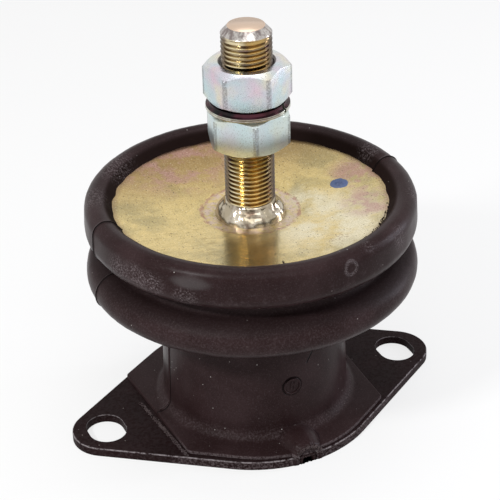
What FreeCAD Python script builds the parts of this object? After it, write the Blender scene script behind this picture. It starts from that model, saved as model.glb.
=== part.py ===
import FreeCAD, Part
import math
import os

import Sketcher

# Bonded rubber engine mount: a moulded rubber body on a two-bolt steel flange, with a dished
# top plate that carries an M16 x 1.5 stud, its two nuts and a spring washer.
# Millimetres, +Z up.  The origin is the middle of the flange's underside, +X runs along the bolt slots.

DIMS = {
    # base flange
    "flange_thickness": 3.0,
    "flange_mid_radius": 42.0,
    "flange_end_radius": 11.25,
    "flange_edge_round": 0.4,
    "bolt_pitch": 108.0,
    "slot_width": 12.5,
    "slot_length": 15.5,
    "gate_notch_radius": 3.2,
    # rubber pad that covers the middle of the flange
    "pad_thickness": 1.2,
    "pad_inset": 1.1,
    "pad_half_length": 36.2,
    "pad_corner": 2.0,
    # rubber column
    "column_foot_radius": 31.1,
    "column_neck_radius": 30.1,
    "foot_fillet": 4.0,
    "neck_fillet": 6.0,
    # upper bead, outside the plate's rim, and the lip that holds the rim down
    "bead_wall": 7.0,
    "up_bead_lift": 0.2,
    "up_bead_under": 5.6,
    "up_bead_face": 4.7,
    "crown_round": 4.0,
    "crown_draft": 0.25,
    "lip_cover": 2.2,
    "lip_slope": 1.5,
    "lip_drop": 2.0,
    # lower bead and the groove between the beads
    "bead_pitch": 17.4,
    "low_bead_more": 0.4,
    "low_bead_under": 5.0,
    "low_bead_over": 7.0,
    "groove_depth": 8.3,
    # moulding gate on the front of the foot
    "gate_radius": 6.0,
    "gate_axis_z": 1.4,
    "gate_root": 2.1,
    "gate_setback": 1.7,
    "gate_nose": 1.4,
    "gate_step": 1.4,
    "gate_bore_radius": 1.8,
    "gate_bore_depth": 2.2,
    # dished top plate
    "plate_radius": 46.5,
    "plate_thickness": 3.0,
    "plate_z": 71.3,
    "plate_dish": 5.1,
    # stud and the weld that holds it
    "stud_radius": 8.0,
    "stud_end": 11.8,
    "stud_end_chamfer": 2.2,
    "stud_end_shoulder": 2.4,
    "thread_to_pitch_line": 0.49,
    "weld_leg": 3.3,
    "weld_rise": 5.5,
    "weld_knee_leg": 2.3,
    "weld_knee_rise": 3.6,
    # hex nuts, M16 fine, 24 mm across flats
    "nut_flats": 24.0,
    "nut_thickness": 12.8,
    "nut_face_radius": 11.2,
    "nut_chamfer_angle": 35.0,
    "nut_countersink": 1.4,
    "low_nut_lift": 25.4,
    "low_nut_turn": 15.9,
    "up_nut_turn": 35.5,
    # spring washer between the nuts
    "washer_radius": 13.3,
    "washer_thickness": 2.5,
    "washer_slit": 1.6,
    "washer_slit_lean": 1.5,
    "washer_slit_turn": 308.0,
}

doc = FreeCAD.newDocument("engine_mount")
sheet = doc.addObject("Spreadsheet::Sheet", "dims")
for row, (alias, number) in enumerate(DIMS.items(), start=1):
    sheet.set(f"A{row}", alias)
    sheet.set(f"B{row}", str(number))
    sheet.setAlias(f"B{row}", alias)
doc.recompute()

ORIGIN = (-1, 1)
X_AXIS = -1
Y_AXIS = -2
START, END, CENTRE = range(1, 4)
UP = FreeCAD.Vector(0, 0, 1)


def cell(alias):
    """Expression for one cell of the sheet."""
    return f"dims.{alias}"


def plus(*aliases):
    """Expression for a sum of cells; an alias with a leading minus is taken off."""
    text = ""
    for alias in aliases:
        sign, word = ("-", alias[1:]) if alias.startswith("-") else ("+", alias)
        text += f" {sign} {cell(word)}"
    return text.strip().lstrip("+").strip()


def amount(*aliases):
    """The number that plus() stands for at the present sizes."""
    return sum(-DIMS[a[1:]] if a.startswith("-") else DIMS[a] for a in aliases)


# Places that follow from other sizes, each a sum of cells.
UP_BEAD = ("plate_radius", "bead_wall")
LOW_BEAD = UP_BEAD + ("low_bead_more",)
GROOVE = UP_BEAD + ("-groove_depth",)
LIP_FOOT = ("plate_radius", "-lip_cover")
LIP = LIP_FOOT + ("lip_slope",)
UP_BEAD_Z = ("plate_z", "up_bead_lift")
LOW_BEAD_Z = UP_BEAD_Z + ("-bead_pitch",)
GATE_START = ("column_neck_radius", "-gate_root")
GATE_REACH = ("flange_mid_radius", "-gate_setback")
STUD_FOOT = ("plate_z", "-plate_thickness")
LOW_NUT_Z = ("plate_z", "low_nut_lift")
WASHER_Z = LOW_NUT_Z + ("nut_thickness",)
UP_NUT_Z = WASHER_Z + ("washer_thickness",)
STUD_TOP = UP_NUT_Z + ("nut_thickness", "stud_end")
# the nuts meet the stud half-way down the thread, at its pitch line
PITCH_LINE = ("stud_radius", "-thread_to_pitch_line")


def new_body(label):
    """An empty PartDesign body whose label names its node."""
    body = doc.addObject("PartDesign::Body", label)
    body.Label = label
    return body


def new_sketch(body, name, plane_role, lift=None):
    """A sketch flat on one of the body's origin planes, raised along its normal by an expression."""
    sketch = body.newObject("Sketcher::SketchObject", name)
    plane = next(f for f in body.Origin.OriginFeatures if f.Role == plane_role)
    sketch.AttachmentSupport = (plane, [""])
    sketch.MapMode = "FlatFace"
    if lift:
        sketch.setExpression(".AttachmentOffset.Base.z", lift)
    return sketch


def drive(sketch, kind, *where, by, now):
    """Add one dimension to a sketch and tie it to the sheet."""
    index = sketch.addConstraint(Sketcher.Constraint(kind, *where, now))
    sketch.setExpression(f"Constraints[{index}]", by)
    return index


def place(sketch, geometry, point, x=None, y=None):
    """Tie one point of a sketch to the sheet; x and y are tuples of cells, () puts it on the axis."""
    for kind, aliases, axis in (("DistanceX", x, Y_AXIS), ("DistanceY", y, X_AXIS)):
        if aliases is None:
            continue
        if aliases:
            drive(sketch, kind, *ORIGIN, geometry, point, by=plus(*aliases), now=amount(*aliases))
        else:
            sketch.addConstraint(Sketcher.Constraint("PointOnObject", geometry, point, axis))


def vec(x, y):
    return FreeCAD.Vector(x, y, 0)


def arc_about(centre, radius, first, last):
    """Counter-clockwise arc between two angles in degrees."""
    circle = Part.Circle(vec(*centre), UP, radius)
    return Part.ArcOfCircle(circle, math.radians(first), math.radians(last))


def angle_of(centre, point):
    return math.degrees(math.atan2(point[1] - centre[1], point[0] - centre[0]))


def join(sketch, first, first_end, second, second_end, kind="Coincident"):
    sketch.addConstraint(Sketcher.Constraint(kind, first, first_end, second, second_end))


def revolve(body, name, sketch):
    """Full turn of a sketch about its own vertical axis."""
    feature = body.newObject("PartDesign::Revolution", name)
    feature.Profile = sketch
    feature.ReferenceAxis = (sketch, ["V_Axis"])
    feature.Angle = 360.0
    return feature


def extrude(body, kind, name, sketch, length=None, reverse=False):
    """Pad or Pocket of a sketch; with no length the cut goes right through."""
    feature = body.newObject(f"PartDesign::{kind}", name)
    feature.Profile = sketch
    feature.Reversed = reverse
    if length:
        feature.setExpression("Length", length)
    else:
        feature.Type = "ThroughAll"
        feature.Midplane = True
    return feature


# ---------------------------------------------------------------- dished plate geometry
# The plate is a shallow cone that falls by plate_dish from its rim to the stud.
def dish_height(radius, depth=0.0):
    """Height of the plate at a radius, depth below its upper face."""
    slope = DIMS["plate_dish"] / (DIMS["plate_radius"] - DIMS["stud_radius"])
    return DIMS["plate_z"] + slope * (radius - DIMS["stud_radius"]) - depth


def dish_level(*radius, under=False):
    """Expression for the plate's height at a radius, on its upper face or its underside."""
    run = f"{cell('plate_radius')} - {cell('stud_radius')}"
    rise = f"{cell('plate_dish')} * ({plus(*radius)} - {cell('stud_radius')}) / ({run})"
    return f"{cell('plate_z')} + {rise}" + (f" - {cell('plate_thickness')}" if under else "")


def dish_line(sketch, inner, outer, under=False):
    """Straight slope of the plate's upper face or underside between two radii, both tuples of cells."""
    depth = DIMS["plate_thickness"] if under else 0.0
    ends = [(amount(*radius), dish_height(amount(*radius), depth)) for radius in (inner, outer)]
    slope = sketch.addGeometry(Part.LineSegment(vec(*ends[0]), vec(*ends[1])), False)
    for point, radius, (_, height) in zip((START, END), (inner, outer), ends):
        place(sketch, slope, point, radius)
        drive(sketch, "DistanceY", *ORIGIN, slope, point, by=dish_level(*radius, under=under), now=height)
    return slope


# ---------------------------------------------------------------- base flange
def flange_outline(sketch):
    """Two end arcs and two middle arcs joined by four tangent sides."""
    mid, end = DIMS["flange_mid_radius"], DIMS["flange_end_radius"]
    half = DIMS["bolt_pitch"] / 2
    lean = math.degrees(math.asin((mid - end) / half))
    right = arc_about((half, 0), end, lean - 90, 90 - lean)
    top = arc_about((0, 0), mid, 90 - lean, 90 + lean)
    left = arc_about((-half, 0), end, 90 + lean, 270 - lean)
    bottom = arc_about((0, 0), mid, 270 - lean, 270 + lean)
    arcs = [sketch.addGeometry(g, False) for g in (right, top, left, bottom)]
    shapes = [right, top, left, bottom]
    sides = []
    for here, there in zip(range(4), (1, 2, 3, 0)):
        start, stop = shapes[here].EndPoint, shapes[there].StartPoint
        sides.append(sketch.addGeometry(Part.LineSegment(start, stop), False))
    for number, side in enumerate(sides):
        join(sketch, arcs[number], END, side, START, "Tangent")
        join(sketch, side, END, arcs[(number + 1) % 4], START, "Tangent")
    for arc in (arcs[1], arcs[3]):
        join(sketch, arc, CENTRE, *ORIGIN)
        drive(sketch, "Radius", arc, by=cell("flange_mid_radius"), now=mid)
    for arc, way in ((arcs[0], ""), (arcs[2], "-")):
        sketch.addConstraint(Sketcher.Constraint("PointOnObject", arc, CENTRE, X_AXIS))
        drive(sketch, "DistanceX", *ORIGIN, arc, CENTRE, by=f"{way}{cell('bolt_pitch')} / 2",
              now=-half if way else half)
        drive(sketch, "Radius", arc, by=cell("flange_end_radius"), now=end)


def bolt_slot(sketch, side):
    """One slot across the flange at one end of the bolt line."""
    x = side * DIMS["bolt_pitch"] / 2
    radius = DIMS["slot_width"] / 2
    reach = (DIMS["slot_length"] - DIMS["slot_width"]) / 2
    far = sketch.addGeometry(arc_about((x, reach), radius, 0, 180), False)
    near = sketch.addGeometry(arc_about((x, -reach), radius, 180, 360), False)
    walls = [
        sketch.addGeometry(Part.LineSegment(vec(x - radius, reach), vec(x - radius, -reach)), False),
        sketch.addGeometry(Part.LineSegment(vec(x + radius, -reach), vec(x + radius, reach)), False),
    ]
    join(sketch, far, END, walls[0], START, "Tangent")
    join(sketch, walls[0], END, near, START, "Tangent")
    join(sketch, near, END, walls[1], START, "Tangent")
    join(sketch, walls[1], END, far, START, "Tangent")
    sketch.addConstraint(Sketcher.Constraint("Vertical", walls[0]))
    drive(sketch, "Radius", far, by=f"{cell('slot_width')} / 2", now=radius)
    way = "-" if side < 0 else ""
    drive(sketch, "DistanceX", *ORIGIN, far, CENTRE, by=f"{way}{cell('bolt_pitch')} / 2", now=x)
    half = f"({cell('slot_length')} - {cell('slot_width')}) / 2"
    drive(sketch, "DistanceY", *ORIGIN, far, CENTRE, by=half, now=reach)
    drive(sketch, "DistanceY", *ORIGIN, near, CENTRE, by=f"-{half}", now=-reach)


def notch_circle(sketch):
    """Circle on the flange's edge where the rubber enters at the gate."""
    circle = Part.Circle(vec(0, -DIMS["flange_mid_radius"]), UP, DIMS["gate_notch_radius"])
    index = sketch.addGeometry(circle, False)
    sketch.addConstraint(Sketcher.Constraint("PointOnObject", index, CENTRE, Y_AXIS))
    drive(sketch, "DistanceY", *ORIGIN, index, CENTRE, by=f"-{cell('flange_mid_radius')}",
          now=-DIMS["flange_mid_radius"])
    drive(sketch, "Radius", index, by=cell("gate_notch_radius"), now=DIMS["gate_notch_radius"])


def build_base_plate():
    body = new_body("base_plate")
    outline = new_sketch(body, "flange_outline", "XY_Plane")
    flange_outline(outline)
    flange = extrude(body, "Pad", "flange", outline, cell("flange_thickness"))
    doc.recompute()
    top = [
        f"Edge{n}"
        for n, edge in enumerate(flange.Shape.Edges, start=1)
        if edge.BoundBox.ZMin > DIMS["flange_thickness"] - 0.01
    ]
    rim = body.newObject("PartDesign::Fillet", "flange_edge")
    rim.Base = (flange, top)
    rim.setExpression("Radius", cell("flange_edge_round"))
    slots = new_sketch(body, "bolt_slots", "XY_Plane")
    for side in (-1, 1):
        bolt_slot(slots, side)
    extrude(body, "Pocket", "slots", slots)
    notch = new_sketch(body, "gate_notch", "XY_Plane")
    notch_circle(notch)
    extrude(body, "Pocket", "notch", notch)
    return body


# ---------------------------------------------------------------- rubber body
def rubber_profile(sketch):
    """Half section of the moulding, from the foot up to the lip and down round the plate."""
    under_z = LOW_BEAD_Z + ("-low_bead_under",)
    pad_top = ("flange_thickness", "pad_thickness")
    face_top = UP_BEAD_Z + ("up_bead_face",)
    crown_x = UP_BEAD + ("-crown_draft", "-crown_round")
    stops = [
        ((), ("flange_thickness",)),
        (("column_foot_radius", "foot_fillet"), ("flange_thickness",)),
        (("column_foot_radius", "foot_fillet"), pad_top),
        (("column_foot_radius",), pad_top + ("foot_fillet",)),
        (("column_neck_radius",), under_z + ("-neck_fillet",)),
        (("column_neck_radius", "neck_fillet"), under_z),
        (LOW_BEAD + ("-low_bead_under",), under_z),
        (LOW_BEAD, LOW_BEAD_Z),
        (LOW_BEAD + ("-low_bead_over",), LOW_BEAD_Z + ("low_bead_over",)),
        (GROOVE, None),
        (UP_BEAD + ("-up_bead_under",), UP_BEAD_Z + ("-up_bead_under",)),
        (UP_BEAD, UP_BEAD_Z),
        (UP_BEAD + ("-crown_draft",), face_top),
        (crown_x, face_top + ("crown_round",)),
        (LIP, face_top + ("crown_round", "-lip_drop")),
    ]
    groove_z = (amount(*stops[8][1]) + amount(*stops[10][1])) / 2
    points = [(amount(*x), groove_z if z is None else amount(*z)) for x, z in stops]
    points.append((amount(*LIP_FOOT), dish_height(amount(*LIP_FOOT))))

    def line(first, last):
        return sketch.addGeometry(Part.LineSegment(vec(*points[first]), vec(*points[last])), False)

    def arc(centre, first, last, turn):
        """Arc from one stop to the next; turn is 1 counter-clockwise, -1 clockwise."""
        radius = math.dist(centre, points[first])
        a, b = angle_of(centre, points[first]), angle_of(centre, points[last])
        return sketch.addGeometry(arc_about(centre, radius, *((a, b) if turn > 0 else (b, a))), False)

    def level_centre(x_known, z_known, z_level):
        """Centre, at the groove's own height, of the arc from the groove floor to a bead."""
        rise = z_known - z_level
        run = x_known - points[9][0]
        return (points[9][0] + (run ** 2 + rise ** 2) / (2 * run), z_level)

    def quadrant(x_stop, z_stop):
        return (points[x_stop][0], points[z_stop][1])

    lip_run, lip_fall = points[13][0] - points[14][0], points[13][1] - points[14][1]
    lip_centre = (points[13][0], points[13][1] - (lip_run ** 2 + lip_fall ** 2) / (2 * lip_fall))
    # (geometry, end nearer the previous stop, end nearer the next stop)
    chain = [
        (line(0, 1), START, END),
        (line(1, 2), START, END),
        (arc(quadrant(2, 3), 2, 3, -1), END, START),
        (line(3, 4), START, END),
        (arc(quadrant(5, 4), 4, 5, -1), END, START),
        (line(5, 6), START, END),
        (arc(quadrant(6, 7), 6, 7, 1), START, END),
        (arc(quadrant(8, 7), 7, 8, 1), START, END),
        (arc(level_centre(*points[8], groove_z), 8, 9, -1), END, START),
        (arc(level_centre(*points[10], groove_z), 9, 10, -1), END, START),
        (arc(quadrant(10, 11), 10, 11, 1), START, END),
        (line(11, 12), START, END),
        (arc(quadrant(13, 12), 12, 13, 1), START, END),
        (arc(lip_centre, 13, 14, 1), START, END),
        (line(14, 15), START, END),
    ]
    for (here, _, out), (there, into, _) in zip(chain, chain[1:]):
        join(sketch, here, out, there, into)
    for (geometry, into, _), (x, z) in zip(chain, stops):
        place(sketch, geometry, into, x, z)
    for number, alias in ((2, "foot_fillet"), (4, "neck_fillet"), (6, "low_bead_under"),
                          (7, "low_bead_over"), (10, "up_bead_under"), (12, "crown_round")):
        drive(sketch, "Radius", chain[number][0], by=cell(alias), now=DIMS[alias])
    # the groove floor is upright and half-way between the beads, the crown is level at its top
    for number in (8, 9):
        sketch.addConstraint(Sketcher.Constraint("Horizontal", chain[number][0], CENTRE, chain[9][0], END))
    middle = f"({plus(*stops[8][1])} + {plus(*stops[10][1])}) / 2"
    drive(sketch, "DistanceY", *ORIGIN, chain[9][0], END, by=middle, now=groove_z)
    sketch.addConstraint(Sketcher.Constraint("Vertical", chain[13][0], CENTRE, chain[13][0], START))

    # seat of the plate: over its rim, round its edge, under it, and flat below the stud
    over = dish_line(sketch, LIP_FOOT, ("plate_radius",))
    under = dish_line(sketch, ("stud_radius",), ("plate_radius",), under=True)
    rim_top = vec(DIMS["plate_radius"], dish_height(DIMS["plate_radius"]))
    rim_foot = vec(DIMS["plate_radius"], dish_height(DIMS["plate_radius"], DIMS["plate_thickness"]))
    foot_z = amount(*STUD_FOOT)
    edge = sketch.addGeometry(Part.LineSegment(rim_top, rim_foot), False)
    floor = sketch.addGeometry(Part.LineSegment(vec(DIMS["stud_radius"], foot_z), vec(0, foot_z)), False)
    core = sketch.addGeometry(Part.LineSegment(vec(0, foot_z), vec(*points[0])), False)
    join(sketch, chain[14][0], END, over, START)
    join(sketch, over, END, edge, START)
    join(sketch, edge, END, under, END)
    join(sketch, under, START, floor, START)
    join(sketch, floor, END, core, START)
    join(sketch, core, END, chain[0][0], START)
    sketch.addConstraint(Sketcher.Constraint("Vertical", core))
    sketch.addConstraint(Sketcher.Constraint("Horizontal", floor))


def pad_outline(sketch):
    """The flange's own outline drawn in by pad_inset and cut off square at both ends."""
    mid = DIMS["flange_mid_radius"] - DIMS["pad_inset"]
    end = DIMS["flange_end_radius"] - DIMS["pad_inset"]
    lean = math.asin((mid - end) / (DIMS["bolt_pitch"] / 2))
    ends = math.degrees(lean)
    length, corner = DIMS["pad_half_length"], DIMS["pad_corner"]
    touch = (mid * math.sin(lean), mid * math.cos(lean))
    # corner arc between the leaning side and the square end
    centre_x = length - corner
    centre_y = (mid - corner - centre_x * math.sin(lean)) / math.cos(lean)
    shoulder = (centre_x + corner * math.sin(lean), centre_y + corner * math.cos(lean))
    top = sketch.addGeometry(arc_about((0, 0), mid, 90 - ends, 90 + ends), False)
    bottom = sketch.addGeometry(arc_about((0, 0), mid, 270 - ends, 270 + ends), False)
    parts = {}
    for sx, sy in ((1, 1), (-1, 1), (-1, -1), (1, -1)):
        side = Part.LineSegment(vec(sx * touch[0], sy * touch[1]), vec(sx * shoulder[0], sy * shoulder[1]))
        low, high = sorted((0.0, 90.0 - ends))
        first, last = {(1, 1): (low, high), (-1, 1): (180 - high, 180 - low),
                       (-1, -1): (180 + low, 180 + high), (1, -1): (360 - high, 360 - low)}[(sx, sy)]
        bend = arc_about((sx * centre_x, sy * centre_y), corner, first, last)
        parts[(sx, sy)] = (sketch.addGeometry(side, False), sketch.addGeometry(bend, False))
    for (sx, sy), (side, bend) in parts.items():
        at_arc = START if (sx > 0) == (sy > 0) else END
        join(sketch, top if sy > 0 else bottom, at_arc, side, START, "Tangent")
        join(sketch, side, END, bend, END if (sx > 0) == (sy > 0) else START, "Tangent")
        drive(sketch, "Radius", bend, by=cell("pad_corner"), now=corner)
    for sx in (-1, 1):
        upper, lower = parts[(sx, 1)][1], parts[(sx, -1)][1]
        wall = sketch.addGeometry(Part.LineSegment(vec(sx * length, centre_y), vec(sx * length, -centre_y)), False)
        join(sketch, upper, START if sx > 0 else END, wall, START, "Tangent")
        join(sketch, lower, END if sx > 0 else START, wall, END, "Tangent")
        sketch.addConstraint(Sketcher.Constraint("Vertical", wall))
        way = "-" if sx < 0 else ""
        drive(sketch, "DistanceX", *ORIGIN, wall, START, by=f"{way}{cell('pad_half_length')}", now=sx * length)
    for arc in (top, bottom):
        join(sketch, arc, CENTRE, *ORIGIN)
        drive(sketch, "Radius", arc, by=plus("flange_mid_radius", "-pad_inset"), now=mid)
    run = f"asin(({cell('flange_mid_radius')} - {cell('flange_end_radius')}) / ({cell('bolt_pitch')} / 2))"
    for (sx, sy), (side, _) in parts.items():
        lean_now = -sx * sy * lean if sx > 0 else math.pi + (lean if sy > 0 else -lean)
        by = {(1, 1): f"-{run}", (1, -1): run, (-1, 1): f"180 deg + {run}", (-1, -1): f"180 deg - {run}"}
        drive(sketch, "Angle", side, by=by[(sx, sy)], now=lean_now)


def gate_section(sketch, step=()):
    """Round-topped section of the gate ridge, standing on the flange's upper face."""
    radius = DIMS["gate_radius"] + amount(*step)
    low = DIMS["flange_thickness"] - DIMS["gate_axis_z"]
    half = math.sqrt(radius ** 2 - low ** 2)
    rise = math.degrees(math.asin(low / radius))
    arc = sketch.addGeometry(arc_about((0, DIMS["gate_axis_z"]), radius, rise, 180 - rise), False)
    chord = Part.LineSegment(vec(-half, DIMS["flange_thickness"]), vec(half, DIMS["flange_thickness"]))
    base = sketch.addGeometry(chord, False)
    join(sketch, arc, END, base, START)
    join(sketch, base, END, arc, START)
    sketch.addConstraint(Sketcher.Constraint("PointOnObject", arc, CENTRE, Y_AXIS))
    sketch.addConstraint(Sketcher.Constraint("Horizontal", base))
    place(sketch, arc, CENTRE, None, ("gate_axis_z",))
    place(sketch, base, START, None, ("flange_thickness",))
    drive(sketch, "Radius", arc, by=plus("gate_radius", *step), now=radius)


def plug_outline(sketch):
    """Lens where the notch circle and the flange's middle arc overlap, filled by rubber."""
    mid, notch = DIMS["flange_mid_radius"], DIMS["gate_notch_radius"]
    spread = 2 * math.asin(notch / (2 * mid))
    corner = (mid * math.sin(spread), -mid * math.cos(spread))
    tilt = angle_of((0, -mid), corner)
    inner = sketch.addGeometry(arc_about((0, -mid), notch, tilt, 180 - tilt), False)
    down = math.degrees(spread)
    outer = sketch.addGeometry(arc_about((0, 0), mid, 270 - down, 270 + down), False)
    join(sketch, inner, START, outer, END)
    join(sketch, inner, END, outer, START)
    join(sketch, outer, CENTRE, *ORIGIN)
    sketch.addConstraint(Sketcher.Constraint("PointOnObject", inner, CENTRE, Y_AXIS))
    drive(sketch, "Radius", outer, by=cell("flange_mid_radius"), now=mid)
    drive(sketch, "Radius", inner, by=cell("gate_notch_radius"), now=notch)
    drive(sketch, "DistanceY", *ORIGIN, inner, CENTRE, by=f"-{cell('flange_mid_radius')}", now=-mid)


def build_rubber_body():
    body = new_body("rubber_body")
    section = new_sketch(body, "rubber_section", "XZ_Plane")
    rubber_profile(section)
    revolve(body, "column_and_beads", section)
    outline = new_sketch(body, "pad_outline", "XY_Plane", cell("flange_thickness"))
    pad_outline(outline)
    extrude(body, "Pad", "foot_pad", outline, cell("pad_thickness"))
    # the ridge runs out along -Y from inside the column, then steps down to a short nose
    ridge = new_sketch(body, "gate_ridge_section", "XZ_Plane", plus(*GATE_START))
    gate_section(ridge)
    extrude(body, "Pad", "gate_ridge", ridge, f"{plus(*GATE_REACH)} - ({plus(*GATE_START)})")
    nose = new_sketch(body, "gate_nose_section", "XZ_Plane", plus(*GATE_REACH))
    gate_section(nose, ("-gate_step",))
    extrude(body, "Pad", "gate_nose", nose, cell("gate_nose"))
    plug = new_sketch(body, "gate_plug_outline", "XY_Plane")
    plug_outline(plug)
    extrude(body, "Pad", "gate_plug", plug, cell("flange_thickness"))
    bore = new_sketch(body, "gate_bore_section", "XZ_Plane", plus("flange_mid_radius", "-gate_bore_depth"))
    hole = bore.addGeometry(Part.Circle(vec(0, 0), UP, DIMS["gate_bore_radius"]), False)
    join(bore, hole, CENTRE, *ORIGIN)
    drive(bore, "Radius", hole, by=cell("gate_bore_radius"), now=DIMS["gate_bore_radius"])
    extrude(body, "Pocket", "gate_bore", bore, f"2 * {cell('gate_bore_depth')}", reverse=True)
    return body


# ---------------------------------------------------------------- top plate, weld and stud
def closed_outline(sketch, corners):
    """Straight-sided closed outline; corners are (x cells, z cells) and the sides' numbers come back."""
    points = [(amount(*x), amount(*z)) for x, z in corners]
    sides = [
        sketch.addGeometry(Part.LineSegment(vec(*a), vec(*b)), False)
        for a, b in zip(points, points[1:] + points[:1])
    ]
    for here, there in zip(sides, sides[1:] + sides[:1]):
        join(sketch, here, END, there, START)
    for side, (x, z) in zip(sides, corners):
        place(sketch, side, START, x, z)
    return sides


def build_top_plate():
    body = new_body("top_plate")
    section = new_sketch(body, "plate_section", "XZ_Plane")
    bore, rim = ("stud_radius",), ("plate_radius",)
    over = dish_line(section, bore, rim)
    under = dish_line(section, bore, rim, under=True)
    for radius, end in ((amount(*bore), START), (amount(*rim), END)):
        foot = vec(radius, dish_height(radius, DIMS["plate_thickness"]))
        wall = section.addGeometry(Part.LineSegment(foot, vec(radius, dish_height(radius))), False)
        join(section, under, end, wall, START)
        join(section, wall, END, over, end)
    revolve(body, "dished_plate", section)
    return body


def build_stud():
    """Rod at the thread's outer diameter, drawn in to the pitch line where a nut sits on it."""
    body = new_body("stud")
    section = new_sketch(body, "stud_section", "XZ_Plane")
    rod, line = ("stud_radius",), PITCH_LINE
    low_top, high_top = LOW_NUT_Z + ("nut_thickness",), UP_NUT_Z + ("nut_thickness",)
    closed_outline(section, [
        ((), STUD_FOOT), (rod, STUD_FOOT),
        (rod, LOW_NUT_Z), (line, LOW_NUT_Z), (line, low_top), (rod, low_top),
        (rod, UP_NUT_Z), (line, UP_NUT_Z), (line, high_top), (rod, high_top),
        (rod, STUD_TOP + ("-stud_end_shoulder",)),
        (rod + ("-stud_end_chamfer",), STUD_TOP),
        ((), STUD_TOP),
    ])
    revolve(body, "rod", section)
    return body


def build_weld_bead():
    """Ring of weld that stands on the plate's slope, against the stud."""
    body = new_body("weld_bead")
    section = new_sketch(body, "weld_section", "XZ_Plane")
    inner, toe = ("stud_radius",), ("stud_radius", "weld_leg")
    knee = (("stud_radius", "weld_knee_leg"), ("plate_z", "weld_knee_rise"))
    crest = (inner, ("plate_z", "weld_rise"))
    floor = dish_line(section, inner, toe)
    points = [(amount(*toe), dish_height(amount(*toe)))] + [(amount(*x), amount(*z)) for x, z in (knee, crest)]
    points.append((amount(*inner), dish_height(amount(*inner))))
    face, slope, wall = [
        section.addGeometry(Part.LineSegment(vec(*a), vec(*b)), False) for a, b in zip(points, points[1:])
    ]
    join(section, floor, END, face, START)
    join(section, face, END, slope, START)
    join(section, slope, END, wall, START)
    join(section, wall, END, floor, START)
    place(section, face, END, *knee)
    place(section, slope, END, *crest)
    revolve(body, "bead", section)
    return body


# ---------------------------------------------------------------- nuts and washer
def chamfer_section(sketch, top):
    """Triangle outside the cone that rounds off a nut's corners, at its top or foot."""
    face, far = DIMS["nut_face_radius"], DIMS["nut_flats"]
    slope = math.tan(math.radians(DIMS["nut_chamfer_angle"]))
    edge = DIMS["nut_thickness"] if top else 0.0
    drop = (far - face) * slope * (-1 if top else 1)
    corners = [(face, edge), (far, edge), (far, edge + drop)]
    sides = [
        sketch.addGeometry(Part.LineSegment(vec(*a), vec(*b)), False)
        for a, b in zip(corners, corners[1:] + corners[:1])
    ]
    for here, there in zip(sides, sides[1:] + sides[:1]):
        join(sketch, here, END, there, START)
    sketch.addConstraint(Sketcher.Constraint("Horizontal", sides[0]))
    sketch.addConstraint(Sketcher.Constraint("Vertical", sides[1]))
    place(sketch, sides[0], START, ("nut_face_radius",), ("nut_thickness",) if top else ())
    place(sketch, sides[1], START, ("nut_flats",))
    fall = f"({cell('nut_flats')} - {cell('nut_face_radius')}) * tan({cell('nut_chamfer_angle')} * 1 deg)"
    height = f"{cell('nut_thickness')} - {fall}" if top else fall
    drive(sketch, "DistanceY", *ORIGIN, sides[1], END, by=height, now=edge + drop)


def countersink_section(sketch, top):
    """Triangle that breaks the mouth of a nut's bore."""
    radius, cut = amount(*PITCH_LINE), DIMS["nut_countersink"]
    edge = DIMS["nut_thickness"] if top else 0.0
    inward = edge + (-cut if top else cut)
    corners = [(radius, edge), (radius + cut, edge), (radius, inward)]
    sides = [
        sketch.addGeometry(Part.LineSegment(vec(*a), vec(*b)), False)
        for a, b in zip(corners, corners[1:] + corners[:1])
    ]
    for here, there in zip(sides, sides[1:] + sides[:1]):
        join(sketch, here, END, there, START)
    sketch.addConstraint(Sketcher.Constraint("Horizontal", sides[0]))
    sketch.addConstraint(Sketcher.Constraint("Vertical", sides[2]))
    place(sketch, sides[0], START, PITCH_LINE, ("nut_thickness",) if top else ())
    place(sketch, sides[1], START, PITCH_LINE + ("nut_countersink",))
    height = plus("nut_thickness", "-nut_countersink") if top else cell("nut_countersink")
    drive(sketch, "DistanceY", *ORIGIN, sides[1], END, by=height, now=inward)


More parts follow.
